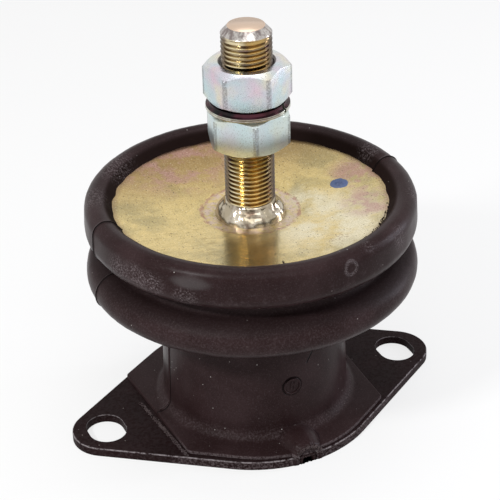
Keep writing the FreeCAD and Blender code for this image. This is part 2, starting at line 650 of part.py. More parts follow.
def build_nut(label, height, turn):
    """Hex nut with both faces chamfered; height and turn are expressions for its placement."""
    body = new_body(label)
    hexagon = new_sketch(body, f"{label}_hexagon", "XY_Plane")
    reach = DIMS["nut_flats"] / math.sqrt(3)
    corners = [vec(reach * math.cos(math.radians(60 * n)), reach * math.sin(math.radians(60 * n)))
               for n in range(6)]
    sides = [
        hexagon.addGeometry(Part.LineSegment(a, b), False) for a, b in zip(corners, corners[1:] + corners[:1])
    ]
    guide = hexagon.addGeometry(Part.Circle(vec(0, 0), UP, reach), True)
    join(hexagon, guide, CENTRE, *ORIGIN)
    for number, side in enumerate(sides):
        join(hexagon, side, END, sides[(number + 1) % 6], START)
        hexagon.addConstraint(Sketcher.Constraint("PointOnObject", side, START, guide))
        if number:
            hexagon.addConstraint(Sketcher.Constraint("Equal", sides[0], side))
    hexagon.addConstraint(Sketcher.Constraint("PointOnObject", sides[0], START, X_AXIS))
    drive(hexagon, "Radius", guide, by=f"{cell('nut_flats')} / sqrt(3)", now=reach)
    extrude(body, "Pad", f"{label}_block", hexagon, cell("nut_thickness"))
    bore = new_sketch(body, f"{label}_bore_circle", "XY_Plane")
    hole = bore.addGeometry(Part.Circle(vec(0, 0), UP, amount(*PITCH_LINE)), False)
    join(bore, hole, CENTRE, *ORIGIN)
    drive(bore, "Radius", hole, by=plus(*PITCH_LINE), now=amount(*PITCH_LINE))
    extrude(body, "Pocket", f"{label}_bore", bore)
    for name, draw in (("chamfer", chamfer_section), ("mouth", countersink_section)):
        for end, top in (("top", True), ("foot", False)):
            section = new_sketch(body, f"{label}_{name}_{end}_section", "XZ_Plane")
            draw(section, top)
            groove = body.newObject("PartDesign::Groove", f"{label}_{name}_{end}")
            groove.Profile = section
            groove.ReferenceAxis = (section, ["V_Axis"])
            groove.Angle = 360.0
    body.Placement.Rotation = FreeCAD.Rotation(UP, 1.0)
    body.setExpression(".Placement.Base.z", height)
    body.setExpression(".Placement.Rotation.Angle", turn)
    return body


def build_spring_washer(height):
    """Split ring pressed flat between the nuts."""
    body = new_body("spring_washer")
    ring = new_sketch(body, "ring_circles", "XY_Plane")
    for alias in ("washer_radius", "stud_radius"):
        circle = ring.addGeometry(Part.Circle(vec(0, 0), UP, DIMS[alias]), False)
        join(ring, circle, CENTRE, *ORIGIN)
        drive(ring, "Radius", circle, by=cell(alias), now=DIMS[alias])
    extrude(body, "Pad", "ring", ring, cell("washer_thickness"))
    # the slit leans as the coil does
    slit = new_sketch(body, "slit_section", "XZ_Plane")
    wide, lean, high = DIMS["washer_slit"], DIMS["washer_slit_lean"], DIMS["washer_thickness"]
    corners = [(-wide / 2 - lean / 2, 0), (wide / 2 - lean / 2, 0), (wide / 2 + lean / 2, high),
               (-wide / 2 + lean / 2, high)]
    sides = [
        slit.addGeometry(Part.LineSegment(vec(*a), vec(*b)), False)
        for a, b in zip(corners, corners[1:] + corners[:1])
    ]
    for here, there in zip(sides, sides[1:] + sides[:1]):
        join(slit, here, END, there, START)
    slit.addConstraint(Sketcher.Constraint("PointOnObject", sides[0], START, X_AXIS))
    slit.addConstraint(Sketcher.Constraint("Horizontal", sides[0]))
    slit.addConstraint(Sketcher.Constraint("Horizontal", sides[2]))
    drive(slit, "DistanceX", *ORIGIN, sides[0], START,
          by=f"-({plus('washer_slit', 'washer_slit_lean')}) / 2", now=corners[0][0])
    drive(slit, "DistanceX", *ORIGIN, sides[1], START,
          by=f"({plus('washer_slit', '-washer_slit_lean')}) / 2", now=corners[1][0])
    drive(slit, "DistanceX", *ORIGIN, sides[2], START,
          by=f"({plus('washer_slit', 'washer_slit_lean')}) / 2", now=corners[2][0])
    drive(slit, "DistanceX", *ORIGIN, sides[3], START,
          by=f"({plus('washer_slit_lean', '-washer_slit')}) / 2", now=corners[3][0])
    place(slit, sides[2], START, None, ("washer_thickness",))
    extrude(body, "Pocket", "slit", slit, f"2 * {cell('washer_radius')}")
    body.Placement.Rotation = FreeCAD.Rotation(UP, 1.0)
    body.setExpression(".Placement.Base.z", height)
    body.setExpression(".Placement.Rotation.Angle", f"{cell('washer_slit_turn')} * 1 deg")
    return body


bodies = [
    build_base_plate(),
    build_rubber_body(),
    build_top_plate(),
    build_stud(),
    build_weld_bead(),
    build_nut("lower_nut", plus(*LOW_NUT_Z), f"{cell('low_nut_turn')} * 1 deg"),
    build_spring_washer(plus(*WASHER_Z)),
    build_nut("upper_nut", plus(*UP_NUT_Z), f"{cell('up_nut_turn')} * 1 deg"),
]
doc.recompute()

for item in doc.Objects:
    if "Invalid" in item.State or "Error" in item.State:
        raise RuntimeError(f"{item.Label} did not build: {item.State}")
for body in bodies:
    if body.Shape.isNull() or not body.Shape.isValid():
        raise RuntimeError(f"{body.Label} has no valid shape")
    if len(body.Shape.Solids) != 1:
        raise RuntimeError(f"{body.Label} is {len(body.Shape.Solids)} solids")

os.makedirs("parts", exist_ok=True)
for body in bodies:
    body.Shape.exportStep(f"parts/{body.Label}.step")
    box = body.Shape.BoundBox
    print(f"{body.Label}: {body.Shape.Volume:.0f} mm3, z {box.ZMin:.2f} to {box.ZMax:.2f}, "
          f"x {box.XMin:.2f} to {box.XMax:.2f}, y {box.YMin:.2f} to {box.YMax:.2f}")
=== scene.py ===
"""Bonded rubber engine mount: its finished pieces, their materials and the studio they stand in."""
import logging
import math
from dataclasses import dataclass
from enum import Enum
from typing import Union

import bmesh
import bpy
from mathutils import Matrix, Vector, noise


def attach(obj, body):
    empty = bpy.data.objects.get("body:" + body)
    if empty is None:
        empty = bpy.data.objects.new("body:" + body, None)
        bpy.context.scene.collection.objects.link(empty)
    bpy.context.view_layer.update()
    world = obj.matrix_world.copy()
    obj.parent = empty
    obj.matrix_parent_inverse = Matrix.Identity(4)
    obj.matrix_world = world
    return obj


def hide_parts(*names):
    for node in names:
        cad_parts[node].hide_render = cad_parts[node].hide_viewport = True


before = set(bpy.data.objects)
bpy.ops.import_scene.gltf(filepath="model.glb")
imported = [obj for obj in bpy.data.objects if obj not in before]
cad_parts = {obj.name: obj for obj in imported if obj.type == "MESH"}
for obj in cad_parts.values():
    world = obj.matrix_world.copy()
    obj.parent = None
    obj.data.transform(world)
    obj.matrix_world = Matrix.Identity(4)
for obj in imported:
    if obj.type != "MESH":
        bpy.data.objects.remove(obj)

MM = 0.001
FULL_TURN = 2 * math.pi
WHITE = (1.0, 1.0, 1.0)
MERGE = 2e-6
log = logging.getLogger("engine_mount")

Colour = tuple[float, float, float]
Point2 = tuple[float, float]
Point3 = tuple[float, float, float]
Material, Mesh, Object = bpy.types.Material, bpy.types.Mesh, bpy.types.Object
Socket = bpy.types.NodeSocket
Value = Union["Num", float]
# where a mask starts to rise, is whole, starts to fall and is gone
Band = tuple[float, float, float, float]


# ---- node trees
class Num:
    """A number on a socket; arithmetic on it adds Math nodes to its tree."""

    def __init__(self, nodes: "Nodes", socket: Socket) -> None:
        """Keep the tree and the socket that gives the number."""
        self.nodes, self.socket = nodes, socket

    def _math(self, operation: str, first: Value, second: Value = 0.0) -> "Num":
        """Result of one Math node on two operands."""
        made = self.nodes.node("ShaderNodeMath", {"operation": operation}, {0: first, 1: second})
        return Num(self.nodes, made.outputs[0])

    def __add__(self, other: Value) -> "Num":
        """Sum."""
        return self._math("ADD", self, other)

    __radd__ = __add__

    def __sub__(self, other: Value) -> "Num":
        """Difference."""
        return self._math("SUBTRACT", self, other)

    def __rsub__(self, other: float) -> "Num":
        """Difference from a plain number."""
        return self._math("SUBTRACT", other, self)

    def __mul__(self, other: Value) -> "Num":
        """Product."""
        return self._math("MULTIPLY", self, other)

    __rmul__ = __mul__

    def __truediv__(self, other: Value) -> "Num":
        """Quotient."""
        return self._math("DIVIDE", self, other)

    def __abs__(self) -> "Num":
        """Size without its sign."""
        return self._math("ABSOLUTE", self)

    def single(self, operation: str) -> "Num":
        """Result of an operation on this number alone, such as SINE."""
        return self._math(operation, self)

    def over(self, other: Value) -> "Num":
        """The larger of the two."""
        return self._math("MAXIMUM", self, other)

    def under(self, other: Value) -> "Num":
        """The smaller of the two."""
        return self._math("MINIMUM", self, other)

    def ramp(self, start: float, stop: float, low: float = 0.0, high: float = 1.0,
             ease: str = "SMOOTHSTEP") -> "Num":
        """Rise from one value to another, held flat outside its ends.

        Args:
            start: Where the rise starts.
            stop: Where it ends; it may be less than start.
            low: The result at start.
            high: The result at stop.
            ease: The rise's curve.

        Returns:
            The value after the rise.
        """
        if start > stop:
            start, stop, low, high = stop, start, high, low
        made = self.nodes.node(
            "ShaderNodeMapRange", {"interpolation_type": ease, "clamp": True},
            {"Value": self, "From Min": start, "From Max": stop, "To Min": low, "To Max": high},
        )
        return Num(self.nodes, made.outputs["Result"])

    def band(self, rise: float, whole: float, fall: float, gone: float) -> "Num":
        """One from whole to fall, and zero before rise and past gone."""
        return self.ramp(rise, whole) * self.ramp(gone, fall)

    def line(self, level: Value, outer: float, inner: float) -> "Num":
        """One within the inner distance of a level, and zero beyond the outer one."""
        return abs(self - level).ramp(outer, inner)


class Nodes:
    """A node tree under construction."""

    def __init__(self, tree: bpy.types.NodeTree) -> None:
        """Keep the tree."""
        self.tree = tree

    def node(self, kind: str, settings: dict | None = None, inputs: dict | None = None) -> bpy.types.Node:
        """Add one node.

        Args:
            kind: The node's type.
            settings: Properties set before anything is joined to it.
            inputs: Values, numbers or sockets, by the input's name or number.

        Returns:
            The new node.
        """
        made = self.tree.nodes.new(kind)
        for key, value in (settings or {}).items():
            setattr(made, key, value)
        for key, value in (inputs or {}).items():
            self.feed(made.inputs[key], value)
        return made

    def feed(self, socket: Socket, value: object) -> None:
        """Join a socket to a number or another socket, or set it to a plain value."""
        if isinstance(value, Num):
            value = value.socket
        if isinstance(value, Socket):
            self.tree.links.new(value, socket)
        elif isinstance(value, tuple) and len(value) == 3 and len(socket.default_value) == 4:
            socket.default_value = (*value, 1.0)
        else:
            socket.default_value = value

    def split(self, vector: Socket) -> list[Num]:
        """The three numbers of a vector."""
        return [Num(self, part) for part in self.node("ShaderNodeSeparateXYZ", inputs={0: vector}).outputs]


class Graph(Nodes):
    """One material's node tree, with a Principled surface and a place in millimetres."""

    def __init__(self, name: str, ground: Colour = WHITE) -> None:
        """Start an empty material.

        Args:
            name: The material's name.
            ground: The colour that the others are laid on.
        """
        self.material = bpy.data.materials.new(name)
        self.material.use_nodes = True
        super().__init__(self.material.node_tree)
        self.tree.nodes.clear()
        self.tone: object = ground
        self.output = self.node("ShaderNodeOutputMaterial")
        self.shader = self.node("ShaderNodeBsdfPrincipled")
        self.feed(self.output.inputs["Surface"], self.shader.outputs["BSDF"])
        coordinates = self.node("ShaderNodeTexCoord")
        scaled = self.node("ShaderNodeVectorMath", {"operation": "SCALE"},
                           {0: coordinates.outputs["Object"], "Scale": 1 / MM})
        self.place = scaled.outputs["Vector"]
        self.x, self.y, self.z = self.split(self.place)

    def noise(self, scale: float, detail: float = 3.0, rough: float = 0.55, stretch: Point3 = (1, 1, 1),
              shift: Point3 = (0, 0, 0)) -> Num:
        """Cloudy noise over the piece.

        Args:
            scale: Features to the millimetre.
            detail: Octaves.
            rough: How strong the small octaves are.
            stretch: Scale along each axis.
            shift: Offset in millimetres.

        Returns:
            The noise, about 0.5 on average.
        """
        spot = self.node("ShaderNodeMapping",
                         inputs={"Vector": self.place, "Location": shift, "Scale": stretch})
        made = self.node("ShaderNodeTexNoise", {"noise_dimensions": "3D"},
                         {"Vector": spot.outputs[0], "Scale": scale, "Detail": detail, "Roughness": rough})
        return Num(self, made.outputs["Fac"])

    def specks(self, scale: float, size: float, share: float = 1.0) -> Num:
        """Small round dots scattered over the piece.

        Args:
            scale: Cells to the millimetre.
            size: A dot's radius as a share of its cell.
            share: The share of the cells that hold a dot.

        Returns:
            One inside a dot and zero elsewhere.
        """
        cells = self.node("ShaderNodeTexVoronoi", {"feature": "F1"}, {"Vector": self.place, "Scale": scale})
        tint = self.node("ShaderNodeSeparateColor", inputs={0: cells.outputs["Color"]})
        chosen = Num(self, tint.outputs[0]).ramp(share + 0.01, share - 0.01)
        return Num(self, cells.outputs["Distance"]).ramp(size, size * 0.6) * chosen

    def distance(self, centre: Point3) -> Num:
        """Distance in millimetres from a fixed point on the piece."""
        made = self.node("ShaderNodeVectorMath", {"operation": "DISTANCE"}, {0: self.place, 1: centre})
        return Num(self, made.outputs["Value"])

    def radius(self) -> Num:
        """Distance in millimetres from the upright axis."""
        level = self.node("ShaderNodeVectorMath", {"operation": "MULTIPLY"}, {0: self.place, 1: (1, 1, 0)})
        made = self.node("ShaderNodeVectorMath", {"operation": "LENGTH"}, {0: level.outputs["Vector"]})
        return Num(self, made.outputs["Value"])

    def toward(self, azimuth: float) -> Num:
        """Distance in millimetres from the upright axis toward an azimuth in degrees."""
        a = math.radians(azimuth)
        return self.x * math.cos(a) + self.y * math.sin(a)

    def blend(self, share: Value, first: object, second: object) -> Socket:
        """Mix of two colours, by the share of the second."""
        made = self.node("ShaderNodeMix", {"data_type": "RGBA", "clamp_factor": True},
                         {0: share, 6: first, 7: second})
        return made.outputs[2]

    def lay(self, share: Value, colour: object) -> None:
        """Lay one more colour, by its share, over those so far."""
        self.tone = self.blend(share, self.tone, colour)

    def bump(self, height: Num, depth: float, strength: float = 1.0,
             after: Socket | None = None) -> Socket:
        """Surface relief.

        Args:
            height: Relief from zero to one.
            depth: The height of one, in millimetres.
            strength: How much of it shows.
            after: Another relief that it lies on.

        Returns:
            The normal's socket.
        """
        inputs = {"Height": height, "Distance": depth * MM, "Strength": strength}
        if after:
            inputs["Normal"] = after
        return self.node("ShaderNodeBump", inputs=inputs).outputs["Normal"]

    def surface(self, **inputs: object) -> Material:
        """Finish the Principled surface in the colours laid so far.

        Args:
            inputs: Its other inputs; an underscore stands for a space.

        Returns:
            The material.
        """
        for key, value in {"Base Color": self.tone, **inputs}.items():
            self.feed(self.shader.inputs[key.replace("_", " ")], value)
        return self.material


# ---- finishes
class Slot(Enum):
    """The record's material slots."""

    FLANGE = "flange_steel"
    RUBBER = "moulded_rubber"
    PLATE = "passivated_steel"
    STUD = "stud_steel"
    WELD = "weld_steel"
    ZINC = "zinc_steel"


@dataclass(frozen=True)
class MouldedRubber:
    """Dark brown-black rubber with a satin skin, pale bloom and a few dust specks."""

    name: str = "moulded_rubber"
    deep: Colour = (0.0175, 0.0083, 0.0084)
    worn: Colour = (0.036, 0.0205, 0.0215)
    bloom: Colour = (0.17, 0.14, 0.145)
    dust: Colour = (0.45, 0.42, 0.40)
    # painted shade on the lip's inner wall
    inside: Colour = (0.006, 0.0022, 0.0015)
    # painted shade under the upper bead
    dull: Colour = (0.008, 0.004, 0.004)
    # painted shade in the grooves and the cut
    painted_groove_shade: Colour = (0.002, 0.001, 0.001)
    # pale worn patches on the beads; the one at (31, -43, 76.5) is a painted highlight
    scuffs_and_highlight: tuple[tuple[Point3, float], ...] = (
        ((-45.0, -28.5, 72.0), 6.0), ((-48.4, -22.8, 73.0), 5.5), ((-50.3, -15.5, 72.0), 6.0),
        ((-38.0, -37.5, 69.5), 6.0),
        ((17.0, -47.0, 78.0), 3.6), ((31.0, -43.0, 76.5), 5.0), ((47.0, -25.0, 77.0), 6.0),
        ((-36.0, 37.0, 79.5), 13.0), ((-49.0, 18.0, 79.0), 9.0), ((47.5, 8.0, 79.0), 6.0),
    )
    # where the painted shade on the lip's inner wall lies
    lip_wall: Point2 = (47.6, 45.9)
    lip_level: Point2 = (75.0, 75.6)
    low_bead: Band = (48.5, 51.0, 62.0, 63.5)
    # where the painted shade under the upper bead lies
    low_bead_shaded_top: Band = (56.5, 60.0, 62.5, 64.0)
    up_bead_foot: Band = (67.0, 69.5, 71.0, 74.5)
    # the flare, whose pale bloom is partly a painted highlight
    foot: Band = (4.3, 5.2, 6.0, 9.5)
    gate: Point3 = (0.0, -40.0, 4.0)
    skirt: Band = (2.9, 3.1, 3.9, 4.15)
    pad_top: float = 4.3
    nick: Point3 = (6.5, -30.0, 31.8)
    nick_reach: float = 2.2
    nick_slant: Point2 = (0.83, 0.56)
    stamp: Point3 = (9.4, -51.4, 76.0)
    stamp_ring: Band = (1.5, 2.1, 2.4, 3.0)
    polished: Point2 = (-133.6, 75.9)
    polished_half: Point2 = (7.0, 2.4)
    ring_mark: Point3 = (-0.3, -30.9, 22.8)
    ring_radius: float = 3.25

    def pale_film(self, g: Graph, film: Num, grain: Num, fine: Num) -> Num:
        """Bloom where the rubber was worn, dusted or torn; one worn patch is a painted highlight.

        Args:
            g: The material's graph.
            film: The even bloom of the bead and the foot, on the foot partly a painted highlight.
            grain: Middle noise that breaks it up.
            fine: Fine noise for the stamp's dust.

        Returns:
            How much bloom shows.
        """
        rubs_and_painted_light: Value = 0.0
        # worn patches, one of them a painted highlight
        for centre, size in self.scuffs_and_highlight:
            rubs_and_painted_light = g.distance(centre).ramp(size, size * 0.3) + rubs_and_painted_light
        film = (rubs_and_painted_light.under(1.0) * 0.8 + film) * grain.ramp(0.47, 0.68)
        # a ring of pale dust in the stamp and a rough pale skirt round the front of the pad
        film = film.over(g.distance(self.stamp).band(*self.stamp_ring) * fine.ramp(0.45, 0.6))
        skirt = g.z.band(*self.skirt) * g.y.ramp(-12.0, -24.0)
        return film.over(skirt * grain.ramp(0.35, 0.6) * 0.55)

    def polish(self, g: Graph, grain: Num) -> Num:
        """The spot on the upper bead that handling has polished, so that lamps shine in it.

        Args:
            g: The material's graph.
            grain: Noise that frays its edge.

        Returns:
            How polished the rubber is.
        """
        azimuth, level = self.polished
        along = g.toward(azimuth + 90.0) * (1 / self.polished_half[0])
        above = (g.z - level) * (1 / self.polished_half[1])
        near = along * along + above * above + grain * 0.8
        return near.ramp(1.6, 0.5) * g.toward(azimuth).ramp(44.0, 47.0)

    def groove_shade_lines(self, g: Graph) -> Num:
        """Painted shade in the creases beside the parting seam and round the ring mark, and in a short
        slanting cut.

        Args:
            g: The material's graph.

        Returns:
            One in the lines.
        """
        # the painted shade lies in front of the seam's ridge, wider on the column
        wide = g.radius().ramp(38.0, 34.0, 0.30, 0.75)
        left = g.y.line(wide * -1.1, 0.30, 0.10) * g.x.ramp(-20.0, -24.0)
        right = g.y.line(-0.35, 0.22, 0.08) * g.x.ramp(38.0, 42.0)
        ring = g.distance(self.ring_mark).line(self.ring_radius, 0.3, 0.1) * g.y.ramp(-25.0, -29.0)
        across = (g.x - self.nick[0]) * self.nick_slant[0] - (g.z - self.nick[2]) * self.nick_slant[1]
        length = g.distance(self.nick).ramp(self.nick_reach + 0.4, self.nick_reach)
        cut = across.line(0.0, 0.32, 0.12) * length * g.y.ramp(-20.0, -24.0)
        return cut.over((left.over(right) * 0.85).over(ring * 0.7))

    def make(self) -> Material:
        """Build the material.

        Returns:
            The rubber's material.
        """
        g = Graph(self.name, self.deep)
        cloud, grain, fine = g.noise(0.06, 4), g.noise(1.6, 4, 0.7), g.noise(5.0, 2, 0.6)
        powder = g.noise(2.6, 3, 0.75, shift=(2, 1, 6)).ramp(0.55, 0.72)
        # painted shade on the lip's inner wall
        inner = g.radius().ramp(*self.lip_wall) * g.z.ramp(*self.lip_level)
        # the lower bead carries an even grey bloom, the upper bead only where it was worn; the flare's pale
        # bloom is partly a painted highlight
        bead = g.z.band(*self.low_bead) * g.radius().ramp(38.0, 46.0)
        foot = g.z.band(*self.foot) * g.distance(self.gate).ramp(6.5, 9.0)
        film = self.pale_film(g, bead * 0.10 + foot * 0.22, grain, fine)
        rim = g.z.band(*self.up_bead_foot) * g.noise(0.35, 5, 0.7).ramp(0.5, 0.75)
        dust = g.specks(0.42, 0.09, 0.4) * g.noise(0.09, 2, shift=(9, 2, 5)).ramp(0.42, 0.56)
        # painted shade in the grooves; the same mask dents the relief below
        lines = self.groove_shade_lines(g)
        # painted shade on the lower bead's upper side, under the upper bead; it is also rougher
        top = g.z.band(*self.low_bead_shaded_top) * g.radius().ramp(44.0, 47.0)
        for share, colour in (
            (cloud.ramp(0.35, 0.7) * 0.6 + grain.ramp(0.45, 0.7) * 0.4, self.worn),
            (powder * 0.22, self.bloom), (inner * 0.9, self.inside), (film + rim * 0.22, self.bloom),
            (dust * 0.8, self.dust), (lines, self.painted_groove_shade), (top * 0.55, self.dull),
        ):
            g.lay(share, colour)
        pad = g.z.ramp(self.pad_top + 0.3, self.pad_top)
        satin = 0.29 + cloud * 0.06 + film * 0.30 + inner * 0.5 + foot * 0.2 + pad * 0.25 + top * 0.3
        relief = g.bump(grain * 0.6 + fine * 0.4, 0.035, 0.6)
        relief = g.bump(1.0 - lines, 0.35, 1.0, relief)
        relief = g.bump(film, 0.12, 0.6, relief)
        return g.surface(Roughness=satin, Normal=relief, Specular_IOR_Level=0.07,
                         Coat_Weight=self.polish(g, grain), Coat_Roughness=0.30)


@dataclass(frozen=True)
class FlangeCoat:
    """Steel under a thin dark skin, worn to the metal and lightened by a painted highlight along its upper
    edge, and furred with rubber in the middle.
    """

    skin: Colour = (0.0115, 0.0048, 0.0049)
    dusty: Colour = (0.0180, 0.0085, 0.0088)
    fur: Colour = (0.125, 0.100, 0.104)
    # metal worn through along the upper edge, lightened further as a painted highlight
    bare_edge_and_highlight: Colour = (0.36, 0.32, 0.33)
    dust: Colour = (0.5, 0.45, 0.42)
    thickness: float = 3.0
    fur_reach: float = 40.0

    def make(self) -> Material:
        """Build the material.

        Returns:
            The flange's material.
        """
        g = Graph("coated_flange", self.skin)
        cloud, grain, top = g.noise(0.08, 4), g.noise(1.3, 5, 0.72), self.thickness
        middle = abs(g.x).ramp(self.fur_reach + 1.0, self.fur_reach - 2.0)
        fur = g.z.ramp(top - 0.05, top - 0.45) * (0.25 + middle * 0.75) * grain.ramp(0.42, 0.66)
        edge = g.z.band(top - 0.50, top - 0.30, top - 0.08, top + 0.01)
        g.lay(cloud.ramp(0.4, 0.75), self.dusty)
        g.lay(fur * 0.8, self.fur)
        # worn metal along the upper edge, partly a painted highlight
        g.lay(edge * g.noise(0.9, 4).ramp(0.34, 0.60) * 0.65, self.bare_edge_and_highlight)
        g.lay(g.specks(0.35, 0.07, 0.3) * cloud.ramp(0.4, 0.6) * 0.8, self.dust)
        return g.surface(Roughness=0.36 + cloud * 0.2 + fur * 0.3, Normal=g.bump(grain, 0.15, 0.7),
                         Specular_IOR_Level=0.03)


@dataclass(frozen=True)
class GoldPassivate:
    """Yellow zinc passivate with rose clouds, a blue paint dot and the weld's heat ring."""

    gold: Colour = (0.74, 0.57, 0.24)
    olive: Colour = (0.40, 0.33, 0.15)
    straw: Colour = (0.80, 0.74, 0.55)
    rose: Colour = (0.45, 0.24, 0.22)
    # painted shade toward the plate's rear
    back: Colour = (0.27, 0.15, 0.05)
    smear: Colour = (0.33, 0.24, 0.07)
    # painted shadow and reflection of the rubber lip along the plate's edge
    rim: Colour = (0.20, 0.11, 0.06)
    heat: Colour = (0.62, 0.48, 0.44)
    burnt: Colour = (0.36, 0.17, 0.13)
    # painted shade round the weld's foot
    weld_foot_shade: Colour = (0.20, 0.15, 0.07)
    sand: Colour = (0.24, 0.16, 0.06)
    glint: Colour = (0.88, 0.82, 0.64)
    pit: Colour = (0.06, 0.035, 0.015)
    stain: Colour = (0.22, 0.10, 0.03)
    paint: Colour = (0.015, 0.065, 0.21)
    paint_core: Colour = (0.006, 0.012, 0.05)
    dot: Point3 = (31.7, -0.2, 74.4)
    dot_radius: float = 3.45
    heat_ring: Band = (12.4, 13.6, 16.6, 18.2)
    burnt_ring: Band = (16.4, 17.0, 17.5, 18.3)

    def make(self) -> Material:
        """Build the material.

        Returns:
            The plate's material.
        """
        g = Graph("gold_passivate", self.olive)

        def spot(centre: Point3, outer: float, inner: float) -> Num:
            """Soft round mask about a point of the plate."""
            return g.distance(centre).ramp(outer, inner)

        cloud, grain = g.noise(0.045, 5, 0.6), g.noise(1.1, 4, 0.7)
        patch, mottle = g.noise(0.10, 5, 0.65, shift=(3, 9, 0)), g.noise(0.35, 5, 0.7, shift=(5, 5, 5))
        sand = g.noise(2.3, 3, 0.8, shift=(4, 4, 0))
        pale = (spot((20, -22, 73), 30, 8) + spot((20, 0, 73), 9, 2) * 0.6).under(1.0)
        rosy = spot((-13, 38, 76), 26, 10) + spot((40, 2, 75), 13, 5) + spot((35, -17, 75), 13, 5)
        smear = g.noise(0.5, 4, 0.6, stretch=(0.35, 1.4, 1.0)).ramp(0.52, 0.66) * spot((-24, -16, 73), 24, 8)
        ring = g.radius() + g.noise(0.3, 3) * 3.0
        heat = ring.band(*self.heat_ring)
        pits = g.specks(0.42, 0.12, 0.5).over(g.specks(1.1, 0.26, 0.22))
        painted = (g.distance(self.dot) + g.noise(0.5, 2) * 1.2).ramp(self.dot_radius + 0.3, self.dot_radius)
        for share, colour in (
            (cloud.ramp(0.38, 0.6) * 0.75 + mottle.ramp(0.35, 0.65) * 0.25, self.gold),
            (pale * patch.ramp(0.3, 0.58) * 0.85, self.straw),
            # painted shade toward the plate's rear
            (g.y.ramp(4.0, 40.0) * 0.8, self.back),
            (rosy.under(1.0) * patch.ramp(0.42, 0.56) * (0.45 + mottle * 0.5), self.rose),
            (smear * 0.5, self.smear),
            # painted shadow and reflection of the rubber lip along the plate's edge
            (g.radius().ramp(42.0, 44.4) * 0.55, self.rim),
            (heat * g.noise(0.6, 4).ramp(0.35, 0.62) * 0.8, self.heat),
            (ring.band(*self.burnt_ring) * mottle.ramp(0.38, 0.6) * 0.75, self.burnt),
            # painted shade round the weld's foot
            (ring.ramp(14.0, 12.2) * 0.5, self.weld_foot_shade),
            (sand.ramp(0.50, 0.68) * 0.5, self.sand),
            (sand.ramp(0.46, 0.30) * 0.4, self.glint),
            (pits * 0.8, self.pit),
            (spot((15, -33, 75), 6, 2) * grain.ramp(0.5, 0.66) * 0.6, self.stain),
            (painted * (0.82 + grain * 0.15), self.paint),
            (spot(self.dot, 1.8, 0.8) * grain.ramp(0.4, 0.6) * painted * 0.6, self.paint_core),
        ):
            g.lay(share, colour)
        dull = 0.15 + cloud * 0.08 + heat * 0.12 + painted * 0.45 + grain * 0.06
        return g.surface(Metallic=0.92 - painted * 0.92, Roughness=dull, Normal=g.bump(grain, 0.03, 0.3))


@dataclass(frozen=True)
class BrightMetal:
    """Plated or uncoated steel, with tint clouds and fine pits, and where asked upright streaks of painted
    light.

    A size of zero leaves its feature out: the painted shade in the bore, the painted shade along the corners
    or the machined end.
    """

    name: str
    tint: Colour
    second: Colour
    third: Colour
    roughness: float
    cloud_scale: float = 0.16
    pit_share: float = 0.3
    relief: float = 0.03
    speckle: float = 0.0
    soft: float = 0.0
    # upright streaks of painted light by azimuth: highlight, reflection and shade
    rubs_and_painted_light: tuple[tuple[float, Colour], ...] = ()
    painted_streak_radius: float = 8.0
    bore: float = 0.0
    corner: float = 0.0
    end_from: float = 0.0
    end_face: float = 136.6
    end_tint: Colour = (0.56, 0.53, 0.50)
    end_band: Colour = (0.24, 0.20, 0.19)
    face_tint: Colour = (0.62, 0.47, 0.36)
    pit: Colour = (0.12, 0.11, 0.09)
    bore_shade: Colour = (0.05, 0.035, 0.03)
    corner_shade: Colour = (0.17, 0.16, 0.16)

    def make(self) -> Material:
        """Build the material.

        Returns:
            The metal's material.
        """
        g = Graph(self.name, self.tint)
        cloud = g.noise(self.cloud_scale, 3)
        other = g.noise(self.cloud_scale * 1.3, 3, shift=(31, 7, 12))
        grain, pits = g.noise(2.2, 4, 0.7), g.specks(1.4, 0.13, self.pit_share)
        speckle = g.noise(3.0, 3, 0.7, shift=(8, 8, 1)).ramp(0.56, 0.68) * self.speckle
        dull = self.roughness + (grain - 0.5) * 0.14 + pits * 0.2
        g.lay(cloud.ramp(0.40 - self.soft, 0.60 + self.soft), self.second)
        g.lay(other.ramp(0.50 - self.soft, 0.70 + self.soft), self.third)
        # upright streaks of painted light: highlight, reflection and shade
        for azimuth, colour in self.rubs_and_painted_light:
            g.lay((g.toward(azimuth) * (1 / self.painted_streak_radius)).ramp(0.84, 0.98), colour)
        g.lay((pits * 0.55).over(speckle), self.pit)
        # painted shade in the bore, where the nut meets the stud
        if self.bore:
            g.lay(g.radius().ramp(self.bore + 0.3, self.bore) * 0.85, self.bore_shade)
        # painted shade along the nut's corners
        if self.corner:
            corner = g.radius().ramp(self.corner - 0.15, self.corner) * grain.ramp(0.35, 0.55)
            g.lay(corner * 0.6, self.corner_shade)
        if self.end_from:
            band = g.noise(0.55, 2, 0.6, stretch=(1.0, 1.0, 0.3)).ramp(0.38, 0.62)
            face = g.z.ramp(self.end_face - 0.15, self.end_face - 0.05)
            g.lay(g.z.ramp(self.end_from, self.end_from + 0.3), g.blend(band, self.end_band, self.end_tint))
            g.lay(face, self.face_tint)
            dull = dull + face * 0.2
        return g.surface(Metallic=1.0, Roughness=dull, Normal=g.bump(grain, self.relief, 0.6))


# ---- meshes
def put(name: str, data: bpy.types.ID) -> Object:
    """Add an object that carries a mesh, a lamp or a camera to the scene."""
    made = bpy.data.objects.new(name, data)
    bpy.context.scene.collection.objects.link(made)
    return made


def smoothed(mesh: Mesh, sharp: float) -> Mesh:
    """Smooth a mesh.

    Args:
        mesh: The mesh.
        sharp: Edges bent by more than this many degrees stay sharp.

    Returns:
        The same mesh.
    """
    mesh.shade_smooth()
    mesh.set_sharp_from_angle(angle=math.radians(sharp))
    return mesh


